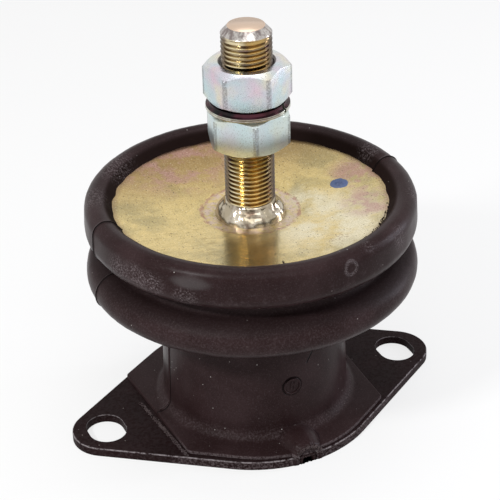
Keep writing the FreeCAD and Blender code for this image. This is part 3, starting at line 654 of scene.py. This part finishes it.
def finished(name: str, mesh: Mesh, material: Material, sharp: float) -> Object:
    """Smooth a mesh, give it its material and put it in the scene.

    Args:
        name: The object's name.
        mesh: Its mesh, in metres.
        material: Its material.
        sharp: Edges bent by more than this many degrees stay sharp.

    Returns:
        The new object.
    """
    mesh.materials.clear()
    mesh.materials.append(material)
    return put(name, smoothed(mesh, sharp))


def mended(mesh: Mesh, merge: float = 0.0, flatten: float = 0.0) -> Mesh:
    """Clean a mesh.

    Args:
        mesh: The mesh.
        merge: Points closer than this many metres become one.
        flatten: Faces bent by less than this many degrees become one; zero turns the faces outwards.

    Returns:
        The same mesh.
    """
    work = bmesh.new()
    work.from_mesh(mesh)
    if merge:
        bmesh.ops.remove_doubles(work, verts=work.verts, dist=merge)
    if flatten:
        bmesh.ops.dissolve_limit(work, angle_limit=math.radians(flatten), verts=work.verts, edges=work.edges)
    else:
        bmesh.ops.recalc_face_normals(work, faces=work.faces)
    work.to_mesh(mesh)
    work.free()
    return mesh


def applied(host: Object) -> Mesh:
    """Plain mesh of an object after its modifiers, which are then removed."""
    mesh = bpy.data.meshes.new_from_object(host.evaluated_get(bpy.context.evaluated_depsgraph_get()))
    host.modifiers.clear()
    return mesh


def fitted(piece: Object, slot: Slot, *nodes: str) -> Object:
    """Seat a piece on the mount's body.

    Args:
        piece: The finished object.
        slot: The material slot it stands for; not used.
        nodes: CAD nodes that it replaces.

    Returns:
        The same object.
    """
    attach(piece, "root")
    if nodes:
        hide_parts(*nodes)
    log.info("%s: %d faces", piece.name, len(piece.data.polygons))
    return piece


def smooth_copy(node: str, name: str, material: Material, round_edge: float, sharp: float) -> Object:
    """Copy a CAD solid with merged points, broken edges and smooth curves.

    Args:
        node: The CAD node.
        name: The new object's name.
        material: Its material.
        round_edge: Width in millimetres of the rounding along its edges.
        sharp: Edges bent by more than this many degrees are rounded.

    Returns:
        The new object.
    """
    made = finished(name, mended(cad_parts[node].data.copy(), MERGE, 0.5), material, sharp)
    if round_edge:
        bevel = made.modifiers.new("edge", "BEVEL")
        bevel.width, bevel.segments, bevel.limit_method = round_edge * MM, 2, "ANGLE"
        bevel.angle_limit, bevel.harden_normals = math.radians(sharp), False
        made.data = smoothed(applied(made), sharp)
    return made


def arc(centre: Point2, radius: float, first: float, last: float, steps: int) -> list[Point2]:
    """Points along an arc, from its first angle in degrees to its last, in so many steps."""
    angles = [math.radians(first + (last - first) * n / steps) for n in range(steps + 1)]
    return [(centre[0] + radius * math.cos(a), centre[1] + radius * math.sin(a)) for a in angles]


def full_circle(count: int) -> list[float]:
    """Angles in radians, evenly spaced from zero round to just before a full turn."""
    return [FULL_TURN * n / count for n in range(count)]


def polar(radius: float, angle: float, height: float) -> Point3:
    """Point at a radius, an angle in radians and a height about the upright axis."""
    return (radius * math.cos(angle), radius * math.sin(angle), height)


def way(azimuth: float, elevation: float) -> Vector:
    """Direction at an azimuth and an elevation in degrees."""
    a, e = math.radians(azimuth), math.radians(elevation)
    return Vector(polar(math.cos(e), a, math.sin(e)))


class Shell:
    """A mesh put together from sheets of points, in millimetres."""

    def __init__(self) -> None:
        """Start with no points."""
        self.points: list[Point3] = []
        self.faces: list[tuple[int, ...]] = []

    def sheet(self, rows: list[list[Point3]], around: bool = False) -> None:
        """Quads between rows of points.

        Args:
            rows: Rows with the same number of points.
            around: Whether the last point of a row joins the first.
        """
        start, wide = len(self.points), len(rows[0])
        for row in rows:
            self.points.extend(row)
        for r in range(len(rows) - 1):
            for c in range(wide if around else wide - 1):
                a, b = start + r * wide + c, start + r * wide + (c + 1) % wide
                self.faces.append((a, b, b + wide, a + wide))

    def fill(self, ring: list[Point3]) -> None:
        """One flat face inside a ring of points."""
        start = len(self.points)
        self.points.extend(ring)
        self.faces.append(tuple(range(start, start + len(ring))))

    def piece(self, name: str, material: Material, sharp: float = 40.0) -> Object:
        """Turn the points into a finished object.

        Args:
            name: The object's name.
            material: Its material.
            sharp: Edges bent by more than this many degrees stay sharp.

        Returns:
            The object, at the origin.
        """
        mesh = bpy.data.meshes.new(name)
        mesh.from_pydata([Vector(p) * MM for p in self.points], [], self.faces)
        return finished(name, mended(mesh, MERGE / 2), material, sharp)


class Tree(Nodes):
    """A Geometry Nodes tree built in the script, run on an object and turned to a plain mesh."""

    def __init__(self, name: str, sizes: dict[str, float]) -> None:
        """Start a tree with named sizes.

        Args:
            name: The name of the tree and of the piece that it makes.
            sizes: Its inputs, in metres or plain numbers, with their values.
        """
        super().__init__(bpy.data.node_groups.new(name, "GeometryNodeTree"))
        face = self.tree.interface
        face.new_socket("Geometry", in_out="INPUT", socket_type="NodeSocketGeometry")
        self.values = {face.new_socket(word, in_out="INPUT", socket_type="NodeSocketFloat").identifier: value
                       for word, value in sizes.items()}
        face.new_socket("Geometry", in_out="OUTPUT", socket_type="NodeSocketGeometry")
        self.start, self.end = self.node("NodeGroupInput"), self.node("NodeGroupOutput")
        self.size = {word: Num(self, self.start.outputs[word]) for word in sizes}

    def random(self, low: Point3, high: Point3) -> Socket:
        """A random vector between two for each point, from the tree's seed."""
        return self.node("FunctionNodeRandomValue", {"data_type": "FLOAT_VECTOR"},
                         {"Min": low, "Max": high, "Seed": self.size["Seed"]}).outputs[0]

    def run(self, line: list[Point3], shape: Socket, material: Material, sharp: float) -> Object:
        """Close the tree, run it and keep the result as a plain mesh.

        Args:
            line: Points in millimetres of the line that it runs on, or none.
            shape: The geometry to hand over.
            material: The material to set.
            sharp: Edges bent by more than this many degrees stay sharp.

        Returns:
            The finished object.
        """
        real = self.node("GeometryNodeRealizeInstances", inputs={"Geometry": shape})
        dressed = self.node("GeometryNodeSetMaterial",
                            inputs={"Geometry": real.outputs[0], "Material": material})
        self.feed(self.end.inputs[0], dressed.outputs[0])
        name = self.tree.name
        mesh = bpy.data.meshes.new(name)
        mesh.from_pydata([Vector(p) * MM for p in line], [(n, n + 1) for n in range(len(line) - 1)], [])
        host = put(name, mesh)
        modifier = host.modifiers.new(name, "NODES")
        modifier.node_group = self.tree
        for key, value in self.values.items():
            modifier[key] = value
        bpy.context.view_layer.update()
        mesh = applied(host)
        bpy.data.objects.remove(host)
        return finished(name, mesh, material, sharp)


# ---- sub-assemblies
@dataclass
class RubberMoulding:
    """The rubber body: foot pad, column, two beads, lip and moulding gate, with its parting seam."""

    flange_top: float = 3.0
    pad_top: float = 4.2
    column_foot: float = 31.1
    column_neck: float = 30.1
    foot_fillet: float = 4.0
    neck_fillet: float = 6.0
    low_bead: Point2 = (53.9, 54.1)
    low_under: float = 5.0
    low_over: float = 7.0
    groove: float = 45.2
    up_bead: Point2 = (53.5, 71.5)
    up_under: float = 5.6
    up_face: float = 4.7
    crown: float = 4.0
    crown_inset: float = 0.25
    lip: tuple[Point2, ...] = ((47.6, 79.8), (46.5, 79.15), (45.8, 78.2), (45.2, 77.4), (44.3, 76.1),
                               (43.9, 75.75))
    ragged_above: float = 75.0
    ragged_within: float = 46.0
    flange_mid: float = 42.0
    flange_end: float = 11.25
    bolt_pitch: float = 108.0
    pad_inset: float = 1.1
    pad_half: float = 36.2
    pad_corner: float = 2.0
    end_lean: Point2 = (0.065, 0.02)
    gate_radius: float = 6.0
    gate_axis: float = 1.4
    gate_front: float = 41.9
    gate_columns: int = 96
    # (distance from the gate's axis, distance behind its front, roughness)
    gate_ring: tuple[Point3, ...] = (
        (0.05, 2.3, 0.0), (1.2, 2.3, 0.0), (1.65, 2.0, 0.0), (1.8, 0.5, 0.1), (2.2, 0.1, 0.25),
        (2.8, 0.35, 0.3), (3.1, 0.9, 0.2), (3.5, 0.45, 0.4), (4.1, 0.05, 0.5), (4.7, 0.0, 0.5),
        (5.2, 0.25, 0.45), (5.5, 0.8, 0.3), (5.65, 1.3, 0.2), (5.85, 1.7, 0.1), (6.0, 2.4, 0.05),
        (6.15, 3.2, 0.05), (6.6, 4.4, 0.05), (6.95, 6.0, 0.0), (7.05, 7.6, 0.0), (6.9, 9.2, 0.0),
        (6.5, 10.6, 0.0), (5.8, 12.0, 0.0),
    )
    seam_height: float = 0.36
    seam_width: float = 0.45
    seam_radius: float = 53.0
    seam_steps: tuple[float, ...] = (-0.8, -0.5, -0.3, -0.15, 0.15, 0.3, 0.5, 0.8)
    columns: int = 300
    # rings by (angle, height) of the centre, radius, the wall's radius, half width and chords
    rings: tuple[tuple[Point2, float, float, float, int], ...] = (
        ((-90.6, 22.8), 2.75, 30.85, 0.34, 40), ((-79.6, 76.0), 2.3, 53.35, 0.17, 36))
    # the pointer in the first ring, as strokes in millimetres from its centre
    strokes: tuple[Band, ...] = ((-0.55, -1.5, -0.2, 1.6), (-0.2, 1.6, 1.0, 0.2), (0.7, -1.4, 0.9, 1.4))
    stroke_half: float = 0.2

    def section(self) -> list[Point2]:
        """Half section from the foot up to the lip and down onto the plate.

        Returns:
            Points (radius, height) in millimetres.
        """
        low, up = self.low_bead, self.up_bead
        under_z, over_z = low[1] - self.low_under, low[1] + self.low_over
        groove_z = (over_z + up[1] - self.up_under) / 2
        points = arc((self.column_foot + self.foot_fillet, self.pad_top + self.foot_fillet),
                     self.foot_fillet, 270, 180, 8)
        points += arc((self.column_neck + self.neck_fillet, under_z - self.neck_fillet),
                      self.neck_fillet, 180, 90, 8)
        points += arc((low[0] - self.low_under, low[1]), self.low_under, 270, 360, 12)
        points += arc((low[0] - self.low_over, low[1]), self.low_over, 0, 90, 12)[1:]
        # the groove is two arcs that meet at its bottom
        for known, falls in ((points[-1], True), ((up[0] - self.up_under, up[1] - self.up_under), False)):
            run, rise = known[0] - self.groove, abs(known[1] - groove_z)
            radius = (run ** 2 + rise ** 2) / (2 * run)
            open_by = math.degrees(math.atan2(rise, run - radius))
            ends = (360 - open_by, 180) if falls else (180, open_by)
            points += arc((self.groove + radius, groove_z), radius, *ends, 5)[1:]
        points += arc((up[0] - self.up_under, up[1]), self.up_under, 270, 360, 12)
        points += arc((up[0] - self.crown_inset - self.crown, up[1] + self.up_face), self.crown, 0, 90, 10)
        return points + list(self.lip)

    def angles(self) -> list[float]:
        """Angles of the columns round the body, closer together at the parting seam.

        Returns:
            Radians in rising order, from just past zero.
        """
        near = [side + step / self.seam_radius for side in (0.0, math.pi) for step in self.seam_steps]
        return sorted({round(a % FULL_TURN, 6) for a in full_circle(self.columns) + near})

    def body_rows(self) -> list[list[Point3]]:
        """The turned surface, with its seam and a slight unevenness.

        Returns:
            Rows of points, one for each point of the section.
        """
        section, angles = self.section(), self.angles()
        rows = []
        for n, (radius, height) in enumerate(section):
            before, after = section[max(0, n - 1)], section[min(len(section) - 1, n + 1)]
            along = Vector((after[0] - before[0], after[1] - before[1])).normalized()
            ragged = height > self.ragged_above and radius < self.ragged_within
            row = []
            for angle in angles:
                off = min(angle % math.pi, math.pi - angle % math.pi) * radius
                spot = Vector(polar(radius, angle, height)) * 0.12
                wave = 0.10 * noise.noise(spot) + 0.05 * noise.noise(spot * 4)
                if ragged:
                    wave += 0.35 * noise.noise(Vector((angle * 9, 3.0, height * 0.2)))
                lift = self.seam_height * math.exp(-(off / self.seam_width) ** 2) + wave
                row.append(polar(radius + along[1] * lift, angle, height - along[0] * lift))
            rows.append(row)
        return rows

    def pad_outline(self, inset: float) -> list[Point2]:
        """Outline of the foot pad.

        Args:
            inset: How far it is drawn in from the pad's own edge.

        Returns:
            Points counter-clockwise from the right-hand end.
        """
        mid = self.flange_mid - self.pad_inset
        lean = math.asin((self.flange_mid - self.flange_end) / (self.bolt_pitch / 2))
        corner = self.pad_corner
        centre_x = self.pad_half - corner
        centre_y = (mid - corner - centre_x * math.sin(lean)) / math.cos(lean)
        open_by = 90 - math.degrees(lean)
        right = arc((centre_x, centre_y), corner - inset, 0, open_by, 4)
        middle = arc((0, 0), mid - inset, open_by, 180 - open_by, 24)
        upper = right + middle + [(-x, y) for x, y in reversed(right)]
        return upper + [(-x, -y) for x, y in upper]

    def add_pad(self, shell: Shell) -> None:
        """Foot pad with a soft upper edge; its square ends lean, the left one more than the right."""
        levels = ((0.0, self.flange_top - 0.3), (0.0, self.pad_top - 0.35), (0.12, self.pad_top - 0.1),
                  (0.4, self.pad_top))
        rows = [[(x + y * (x / self.pad_half) * (self.end_lean[0] if x < 0 else self.end_lean[1]), y, z)
                 for x, y in self.pad_outline(inset)] for inset, z in levels]
        shell.sheet(rows, around=True)
        shell.fill(rows[-1])

    def add_gate(self, shell: Shell) -> None:
        """Moulding gate: a round-backed ridge with a torn ring and a small bore at its front."""
        rows = []
        for away, back, rough in self.gate_ring:
            axis, reach = self.gate_axis * min(1.0, away / self.gate_radius), self.gate_front - back
            row = []
            for angle in full_circle(self.gate_columns):
                x, z = away * math.cos(angle), axis + away * math.sin(angle)
                torn = noise.noise(Vector((x, reach, z)) * 1.9) + 0.6 * noise.noise(Vector((x, 9.0, z)) * 4.5)
                stretch = 1 + 0.12 * rough * torn
                row.append((x * stretch, -reach - rough * torn * 0.9, max(0.05, z * stretch)))
            rows.append(row)
        shell.sheet(rows, around=True)

    def raised_line(self, shell: Shell, points: list[Point2], radius: float, thick: float) -> None:
        """Thin raised line that lies on the round wall.

        Args:
            shell: The mesh that it joins.
            points: (angle in degrees, height) along the line.
            radius: The wall's radius.
            thick: The line's half width.
        """
        rows = []
        for n, (angle, height) in enumerate(points):
            before, after = points[max(0, n - 1)], points[min(len(points) - 1, n + 1)]
            run = (math.radians(after[0] - before[0]) * radius, after[1] - before[1])
            size = math.hypot(*run) or 1.0
            side = (run[1] / size, -run[0] / size)
            # half a round, sunk a little into the wall
            half = [(thick * math.cos(turn), thick * math.sin(turn) - 0.05)
                    for turn in (math.pi * step / 8 for step in range(9))]
            rows.append([polar(radius + out, math.radians(angle) + wide * side[0] / radius,
                               height + wide * side[1]) for wide, out in half])
        shell.sheet(rows)

    def add_marks(self, shell: Shell) -> None:
        """The plain tool marks: two rings, the one on the column with a pointer in it."""
        for centre, size, wall, half, chords in self.rings:
            across = math.degrees(1 / wall)
            ring = [(centre[0] + size * across * math.cos(t), centre[1] + size * math.sin(t))
                    for t in full_circle(chords) + [FULL_TURN]]
            self.raised_line(shell, ring, wall, half)
        centre, _, wall, *_ = self.rings[0]
        across = math.degrees(1 / wall)
        for x0, z0, x1, z1 in self.strokes:
            stroke = [(centre[0] + (x0 + (x1 - x0) * n / 6) * across, centre[1] + z0 + (z1 - z0) * n / 6)
                      for n in range(7)]
            self.raised_line(shell, stroke, wall, self.stroke_half)

    def build(self, material: Material) -> Object:
        """Make the moulding.

        Args:
            material: The rubber's material.

        Returns:
            The finished piece, which stands for the CAD rubber.
        """
        shell = Shell()
        shell.sheet(self.body_rows(), around=True)
        self.add_pad(shell)
        self.add_gate(shell)
        self.add_marks(shell)
        return fitted(shell.piece("rubber_moulding", material, 55.0), Slot.RUBBER, "rubber_body")


@dataclass(frozen=True)
class CrumbLine:
    """Where one line of crumbs lies, and how many there are, how large and how far off it, in millimetres."""

    name: str
    points: list[Point3]
    count: int
    size: float
    spread: float


@dataclass
class MouldFlash:
    """Torn crumbs of rubber that the moulding left along its edges."""

    seed: int = 4
    lines: tuple[CrumbLine, ...] = (
        CrumbLine("flash_beside_pad", [(-38.9, 8.0, 3.05), (-35.6, -25.5, 3.05)], 520, 0.20, 0.6),
        CrumbLine("flash_along_edge", [(x, y, 2.5) for x, y in arc((0, 0), 41.85, 232, 308, 40)],
                  320, 0.20, 0.30),
        CrumbLine("flash_at_gate", [(x, -41.75, max(2.4, 1.4 + z)) for x, z in arc((0, 0), 4.6, -5, 185, 30)],
                  260, 0.24, 0.85),
        CrumbLine("flash_at_lip", [(x, y, 76.15) for x, y in arc((0, 0), 44.0, 205, 330, 60)],
                  150, 0.26, 0.45),
        CrumbLine("flash_tag", [(-6.6, -38.6, 75.5), (-6.9, -40.4, 75.75), (-6.2, -42.6, 76.0),
                                (-8.8, -43.3, 76.2)], 70, 0.15, 0.10),
        CrumbLine("flash_tooth", [(-42.0, -11.6, 75.95), (-43.6, -12.4, 76.2)], 40, 0.24, 0.3),
    )

    def build(self, material: Material) -> None:
        """Scatter crumbs along every line.

        Args:
            material: The crumbs' material.
        """
        for line in self.lines:
            tree = Tree(line.name, {"Count": float(line.count), "Size": line.size * MM,
                                    "Spread": line.spread * MM, "Seed": float(self.seed)})
            curve = tree.node("GeometryNodeMeshToCurve", inputs={0: tree.start.outputs[0]})
            spots = tree.node("GeometryNodeCurveToPoints", {"mode": "COUNT"},
                              {"Curve": curve.outputs[0], "Count": tree.size["Count"]})
            offset = tree.node("ShaderNodeVectorMath", {"operation": "SCALE"},
                               {0: tree.random((-1, -1, -0.25), (1, 1, 0.25)), "Scale": tree.size["Spread"]})
            moved = tree.node("GeometryNodeSetPosition",
                              inputs={"Geometry": spots.outputs[0], "Offset": offset.outputs["Vector"]})
            crumb = tree.node("GeometryNodeMeshIcoSphere",
                              inputs={"Radius": tree.size["Size"], "Subdivisions": 2})
            placed = tree.node("GeometryNodeInstanceOnPoints", inputs={
                "Points": moved.outputs[0], "Instance": crumb.outputs[0],
                "Rotation": tree.random((0, 0, 0), (6.28, 6.28, 6.28)),
                "Scale": tree.random((0.3, 0.4, 0.25), (1.5, 1.9, 0.8))})
            fitted(tree.run(line.points, placed.outputs[0], material, 180.0), Slot.RUBBER)


@dataclass
class ThreadedStud:
    """The M16 fine stud, threaded from end to end, with a chamfered top."""

    radius: float = 8.0
    pitch: float = 1.5
    depth: float = 0.92
    foot: float = 68.3
    top: float = 136.6
    end_radius: float = 5.8
    shoulder: float = 2.4
    full_depth_below: float = 5.0
    flank: Point2 = (0.13, 0.74)
    around: int = 84
    rows_to_pitch: int = 8

    def build(self, material: Material) -> Object:
        """Make the threaded stud with a tree that bends a grid round the axis.

        Args:
            material: The stud's material.

        Returns:
            The finished piece, which stands for the plain CAD rod.
        """
        tree = Tree("threaded_stud", {
            "Radius": self.radius * MM, "Pitch": self.pitch * MM, "Depth": self.depth * MM,
            "Foot": self.foot * MM, "Top": self.top * MM, "End Radius": self.end_radius * MM,
            "Shoulder": self.shoulder * MM,
        })
        rod, pitch, depth, foot, top, end, shoulder = tree.size.values()
        turns = math.ceil((self.top - self.foot) / self.pitch) + 2
        grid = tree.node("GeometryNodeMeshGrid", inputs={
            "Size X": 1.0, "Size Y": 1.0, "Vertices X": self.around + 1,
            "Vertices Y": turns * self.rows_to_pitch + 1})
        x, y, _ = tree.split(tree.node("GeometryNodeInputPosition").outputs[0])
        share = x + 0.5
        angle = share * FULL_TURN
        # rows follow the helix, so a crest is one row all the way up
        turn = (y + 0.5) * float(turns)
        height = ((turn + share - 1.0) * pitch + foot).over(foot).under(top)
        flank = abs(turn.single("FRACT") * 2.0 - 1.0).ramp(*self.flank, ease="LINEAR")
        below = top - height
        fade = below.ramp(self.shoulder * MM, self.full_depth_below * MM, ease="LINEAR")
        cone = end + below * ((rod - end) / shoulder)
        radius = (rod - flank * fade * depth).under(cone).under(end + (height - foot))
        bent = tree.node("ShaderNodeCombineXYZ", inputs={
            0: radius * angle.single("COSINE"), 1: radius * angle.single("SINE"), 2: height})
        wall = tree.node("GeometryNodeSetPosition",
                         inputs={"Geometry": grid.outputs["Mesh"], "Position": bent.outputs[0]})
        whole = tree.node("GeometryNodeJoinGeometry", inputs={0: wall.outputs[0]})
        for level in (top, foot):
            disc = tree.node("GeometryNodeMeshCircle", {"fill_type": "NGON"},
                             {"Vertices": self.around, "Radius": end})
            lift = tree.node("ShaderNodeCombineXYZ", inputs={2: level})
            moved = tree.node("GeometryNodeTransform",
                              inputs={"Geometry": disc.outputs[0], "Translation": lift.outputs[0]})
            tree.feed(whole.inputs[0], moved.outputs[0])
        welded = tree.node("GeometryNodeMergeByDistance",
                           inputs={"Geometry": whole.outputs[0], "Distance": MERGE})
        made = tree.run([], welded.outputs[0], material, 60.0)
        mended(made.data)
        return fitted(made, Slot.STUD, "stud")


@dataclass
class WeldRing:
    """The ring of weld at the stud's foot, uneven and melted smooth."""

    columns: int = 180
    toe: int = 9
    # half section (radius, height) from the stud down to the plate
    section: tuple[Point2, ...] = (
        (7.3, 77.4), (8.05, 77.3), (8.35, 76.6), (8.7, 75.9), (9.2, 75.3), (9.8, 74.75), (10.4, 74.1),
        (10.85, 73.4), (11.15, 72.7), (11.45, 71.75), (11.6, 71.3),
    )

    def build(self, material: Material) -> Object:
        """Make the ring.

        Args:
            material: The weld's material.

        Returns:
            The finished piece.
        """
        rows = []
        for n, (radius, height) in enumerate(self.section):
            weight = math.sin(math.pi * min(1.0, n / self.toe))
            row = []
            for angle in full_circle(self.columns):
                spot = Vector(polar(2.6, angle, height * 0.55))
                lump = (0.46 * noise.noise(spot) + 0.26 * noise.noise(spot * 2.7)
                        + 0.08 * noise.noise(spot * 6.0))
                sag = 0.25 * noise.noise(Vector(polar(1.6, angle, 5.0)))
                row.append(polar(radius + weight * (lump + sag), angle, height + weight * lump * 0.6))
            rows.append(row)
        shell = Shell()
        shell.sheet(rows, around=True)
        return fitted(shell.piece("weld_ring", material, 70.0), Slot.WELD, "weld_bead")


@dataclass
class SteelParts:
    """The flange, the top plate and the nuts, taken from their CAD solids."""

    edge: float = 0.22
    # both nuts carry painted shade in the bore and along the corners
    cool: BrightMetal = BrightMetal(
        "cool_zinc", (0.56, 0.69, 0.70), (0.62, 0.63, 0.68), (0.66, 0.70, 0.60), 0.30,
        cloud_scale=0.08, pit_share=0.45, relief=0.06, speckle=0.75, soft=0.10, bore=8.9, corner=13.45)
    rosy: BrightMetal = BrightMetal(
        "rosy_zinc", (0.52, 0.66, 0.69), (0.70, 0.54, 0.63), (0.76, 0.71, 0.52), 0.28,
        cloud_scale=0.075, pit_share=0.3, relief=0.05, speckle=0.5, soft=0.08, bore=8.9, corner=13.45)

    def build(self) -> None:
        """Dress each solid."""
        for node, name, finish, slot, edge, sharp in (
            ("base_plate", "mounting_flange", FlangeCoat(), Slot.FLANGE, 0.0, 30.0),
            ("top_plate", "dished_plate", GoldPassivate(), Slot.PLATE, 0.0, 30.0),
            ("lower_nut", "lower_hex_nut", self.cool, Slot.ZINC, self.edge, 20.0),
            ("upper_nut", "upper_hex_nut", self.rosy, Slot.ZINC, self.edge, 20.0),
        ):
            fitted(smooth_copy(node, name, finish.make(), edge, sharp), slot, node)


@dataclass
class SplitWasher:
    """The spring washer: a thin bright lower edge under a drawn-in upper one in painted shade, and a slanting
    slit.
    """

    foot: float = 109.5
    height: float = 2.5
    bright_below: float = 1.36
    slit_turn: float = 308.0
    slit_half: float = 2.6
    slit_slant: float = 5.0
    steps: int = 120
    profile: tuple[Point2, ...] = (
        (8.35, 0.0), (12.9, 0.0), (13.2, 0.12), (13.3, 0.35), (13.25, 0.75), (13.0, 0.9), (13.25, 1.05),
        (13.2, 1.3), (12.7, 1.45), (12.3, 1.6), (12.15, 2.1), (12.1, 2.5), (8.35, 2.5),
    )

    def build(self, bright: Material, dark: Material) -> Object:
        """Make the washer.

        Args:
            bright: The lower edge's material, in the steel's own colour.
            dark: The upper edge's material, a painted shade.

        Returns:
            The finished piece, which stands for the plain CAD washer.
        """
        rows = []
        for n in range(self.steps + 1):
            turned = n / self.steps * (360 - 2 * self.slit_half)
            row = []
            for radius, height in self.profile:
                first = self.slit_turn + self.slit_half + self.slit_slant * (height / self.height - 0.5)
                row.append(polar(radius, math.radians(first + turned), self.foot + height))
            rows.append(row)
        shell = Shell()
        shell.sheet(rows, around=True)
        shell.fill(rows[0])
        shell.fill(rows[-1])
        washer = shell.piece("split_washer", bright, 50.0)
        washer.data.materials.append(dark)
        # faces above the bright lower edge take the painted shade material
        for face in washer.data.polygons:
            face.material_index = int(face.center.z > (self.foot + self.bright_below) * MM)
        return fitted(washer, Slot.ZINC, "spring_washer")


# ---- studio
@dataclass
class SoftBox:
    """One large lamp that faces the mount."""

    name: str
    azimuth: float
    elevation: float
    distance: float
    size: Point2
    power: float
    tint: Colour = WHITE

    def build(self, target: Vector) -> None:
        """Hang the lamp.

        Args:
            target: The point that it faces.
        """
        lamp = bpy.data.lights.new(self.name, "AREA")
        lamp.shape, lamp.size, lamp.size_y = "RECTANGLE", *self.size
        lamp.energy, lamp.color = self.power, self.tint
        holder, back = put(self.name, lamp), way(self.azimuth, self.elevation)
        holder.location = target + back * self.distance
        holder.rotation_euler = back.to_track_quat("Z", "Y").to_euler()


@dataclass
class Studio:
    """White floor and surround, soft lamps and the camera."""

    floor_size: float = 6.0
    floor_tone: float = 0.86
    floor_glow: float = 0.72
    surround: float = 0.42
    azimuth: float = -113.31
    elevation: float = 29.28
    roll: float = -1.49
    distance: float = 0.5346
    target: Point3 = (0.0, 0.0, 0.070)
    lens: float = 119.35
    sensor: float = 36.0
    clip: Point2 = (0.01, 50.0)
    shift: Point2 = (-0.0017, -0.068)
    lamps: tuple[SoftBox, ...] = (
        SoftBox("key", -156.0, 39.0, 0.75, (0.13, 0.07), 3.2),
        SoftBox("front", -100.0, 50.0, 0.80, (0.60, 0.45), 1.5),
        SoftBox("side", -8.0, 14.0, 0.60, (0.10, 0.35), 1.6, (0.86, 0.88, 1.0)),
        SoftBox("top", 60.0, 78.0, 0.80, (0.45, 0.45), 1.5),
    )

    @staticmethod
    def seen_rays(nodes: Nodes) -> Num:
        """One for rays from the camera, a mirror or glass, and zero for the light that lands.

        Args:
            nodes: The tree that asks.

        Returns:
            The mask.
        """
        rays = nodes.node("ShaderNodeLightPath")
        camera, mirror, glass = (Num(nodes, rays.outputs[word]) for word in
                                 ("Is Camera Ray", "Is Glossy Ray", "Is Transmission Ray"))
        return camera.over(mirror).over(glass)

    def world(self) -> None:
        """White surround that lights the mount softly."""
        world = bpy.data.worlds.new("surround")
        bpy.context.scene.world = world
        world.use_nodes = True
        world.node_tree.nodes.clear()
        nodes = Nodes(world.node_tree)
        seen, soft = (nodes.node("ShaderNodeBackground", inputs={"Color": WHITE, "Strength": strength})
                      for strength in (1.0, self.surround))
        mix = nodes.node("ShaderNodeMixShader",
                         inputs={0: self.seen_rays(nodes), 1: soft.outputs[0], 2: seen.outputs[0]})
        nodes.node("ShaderNodeOutputWorld", inputs={0: mix.outputs[0]})

    def floor(self) -> None:
        """Plain white floor that keeps a soft shadow."""
        shell = Shell()
        half = self.floor_size / 2 / MM
        shell.fill([(-half, -half, 0), (half, -half, 0), (half, half, 0), (-half, half, 0)])
        g = Graph("white_floor")
        paper = g.noise(0.002, 3).ramp(0.3, 0.7, self.floor_tone - 0.01, self.floor_tone + 0.01)
        tint = g.node("ShaderNodeCombineColor", inputs={0: paper, 1: paper, 2: paper})
        matt = g.node("ShaderNodeBsdfDiffuse", inputs={"Color": tint.outputs[0]})
        glow = g.node("ShaderNodeEmission", inputs={"Color": WHITE, "Strength": 1.0})
        mix = g.node("ShaderNodeMixShader", inputs={
            0: self.seen_rays(g) * self.floor_glow, 1: matt.outputs[0], 2: glow.outputs[0]})
        g.feed(g.output.inputs["Surface"], mix.outputs[0])
        g.tree.nodes.remove(g.shader)
        floor = shell.piece("studio_floor", g.material)

    def camera(self) -> None:
        """Camera that looks slightly down on the mount's front, with a long lens."""
        lens = bpy.data.cameras.new("view")
        lens.lens, lens.sensor_width = self.lens, self.sensor
        lens.shift_x, lens.shift_y = self.shift
        lens.clip_start, lens.clip_end = self.clip
        back, roll = way(self.azimuth, self.elevation), math.radians(self.roll)
        level = way(self.azimuth + 90.0, 0.0)
        upright = back.cross(level)
        right = level * math.cos(roll) + upright * math.sin(roll)
        up = upright * math.cos(roll) - level * math.sin(roll)
        turn = Matrix((right, up, back)).transposed().to_4x4()
        holder = put("view", lens)
        holder.matrix_world = Matrix.Translation(Vector(self.target) + back * self.distance) @ turn
        bpy.context.scene.camera = holder

    def build(self) -> None:
        """Set up the whole studio."""
        bpy.context.scene.view_settings.view_transform = "Standard"
        self.world()
        self.floor()
        self.camera()
        for lamp in self.lamps:
            lamp.build(Vector(self.target))


def main() -> None:
    """Build the studio and every sub-assembly in order."""
    logging.basicConfig(level=logging.INFO, format="%(name)s %(message)s")
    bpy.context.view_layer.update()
    rubber = MouldedRubber().make()
    Studio().build()
    SteelParts().build()
    spring = BrightMetal("spring_steel", (0.52, 0.52, 0.46), (0.34, 0.29, 0.24), (0.60, 0.60, 0.52), 0.22,
                         speckle=0.2)
    # the washer's upper part takes a painted shade, its lower edge the steel's own colour
    dark = BrightMetal("painted_shade_spring_steel", (0.035, 0.016, 0.018), (0.09, 0.03, 0.04), (0.02, 0.02, 0.02),
                       0.35)
    SplitWasher().build(spring.make(), dark.make())
    RubberMoulding().build(rubber)
    MouldFlash().build(MouldedRubber("torn_rubber", (0.035, 0.022, 0.022), (0.14, 0.11, 0.11)).make())
    # the stud's upright streaks are painted light: a highlight at -141°, the gold plate's reflection at -92°
    # and shade at -30° and 165°
    stud = BrightMetal("stud_steel", (0.22, 0.165, 0.10), (0.30, 0.21, 0.10), (0.18, 0.12, 0.11), 0.14,
                       cloud_scale=0.2, pit_share=0.1, relief=0.02, speckle=0.25, end_from=134.1,
                       rubs_and_painted_light=((-141.0, (0.72, 0.62, 0.40)), (-92.0, (0.50, 0.33, 0.12)),
                               (-30.0, (0.09, 0.065, 0.05)), (165.0, (0.11, 0.08, 0.05))))
    ThreadedStud().build(stud.make())
    weld = BrightMetal("weld_steel", (0.42, 0.36, 0.26), (0.60, 0.54, 0.44), (0.13, 0.08, 0.055), 0.13,
                       cloud_scale=0.22, pit_share=0.08, relief=0.05, speckle=0.2, soft=0.04)
    WeldRing().build(weld.make())


if __name__ == "__main__":
    main()
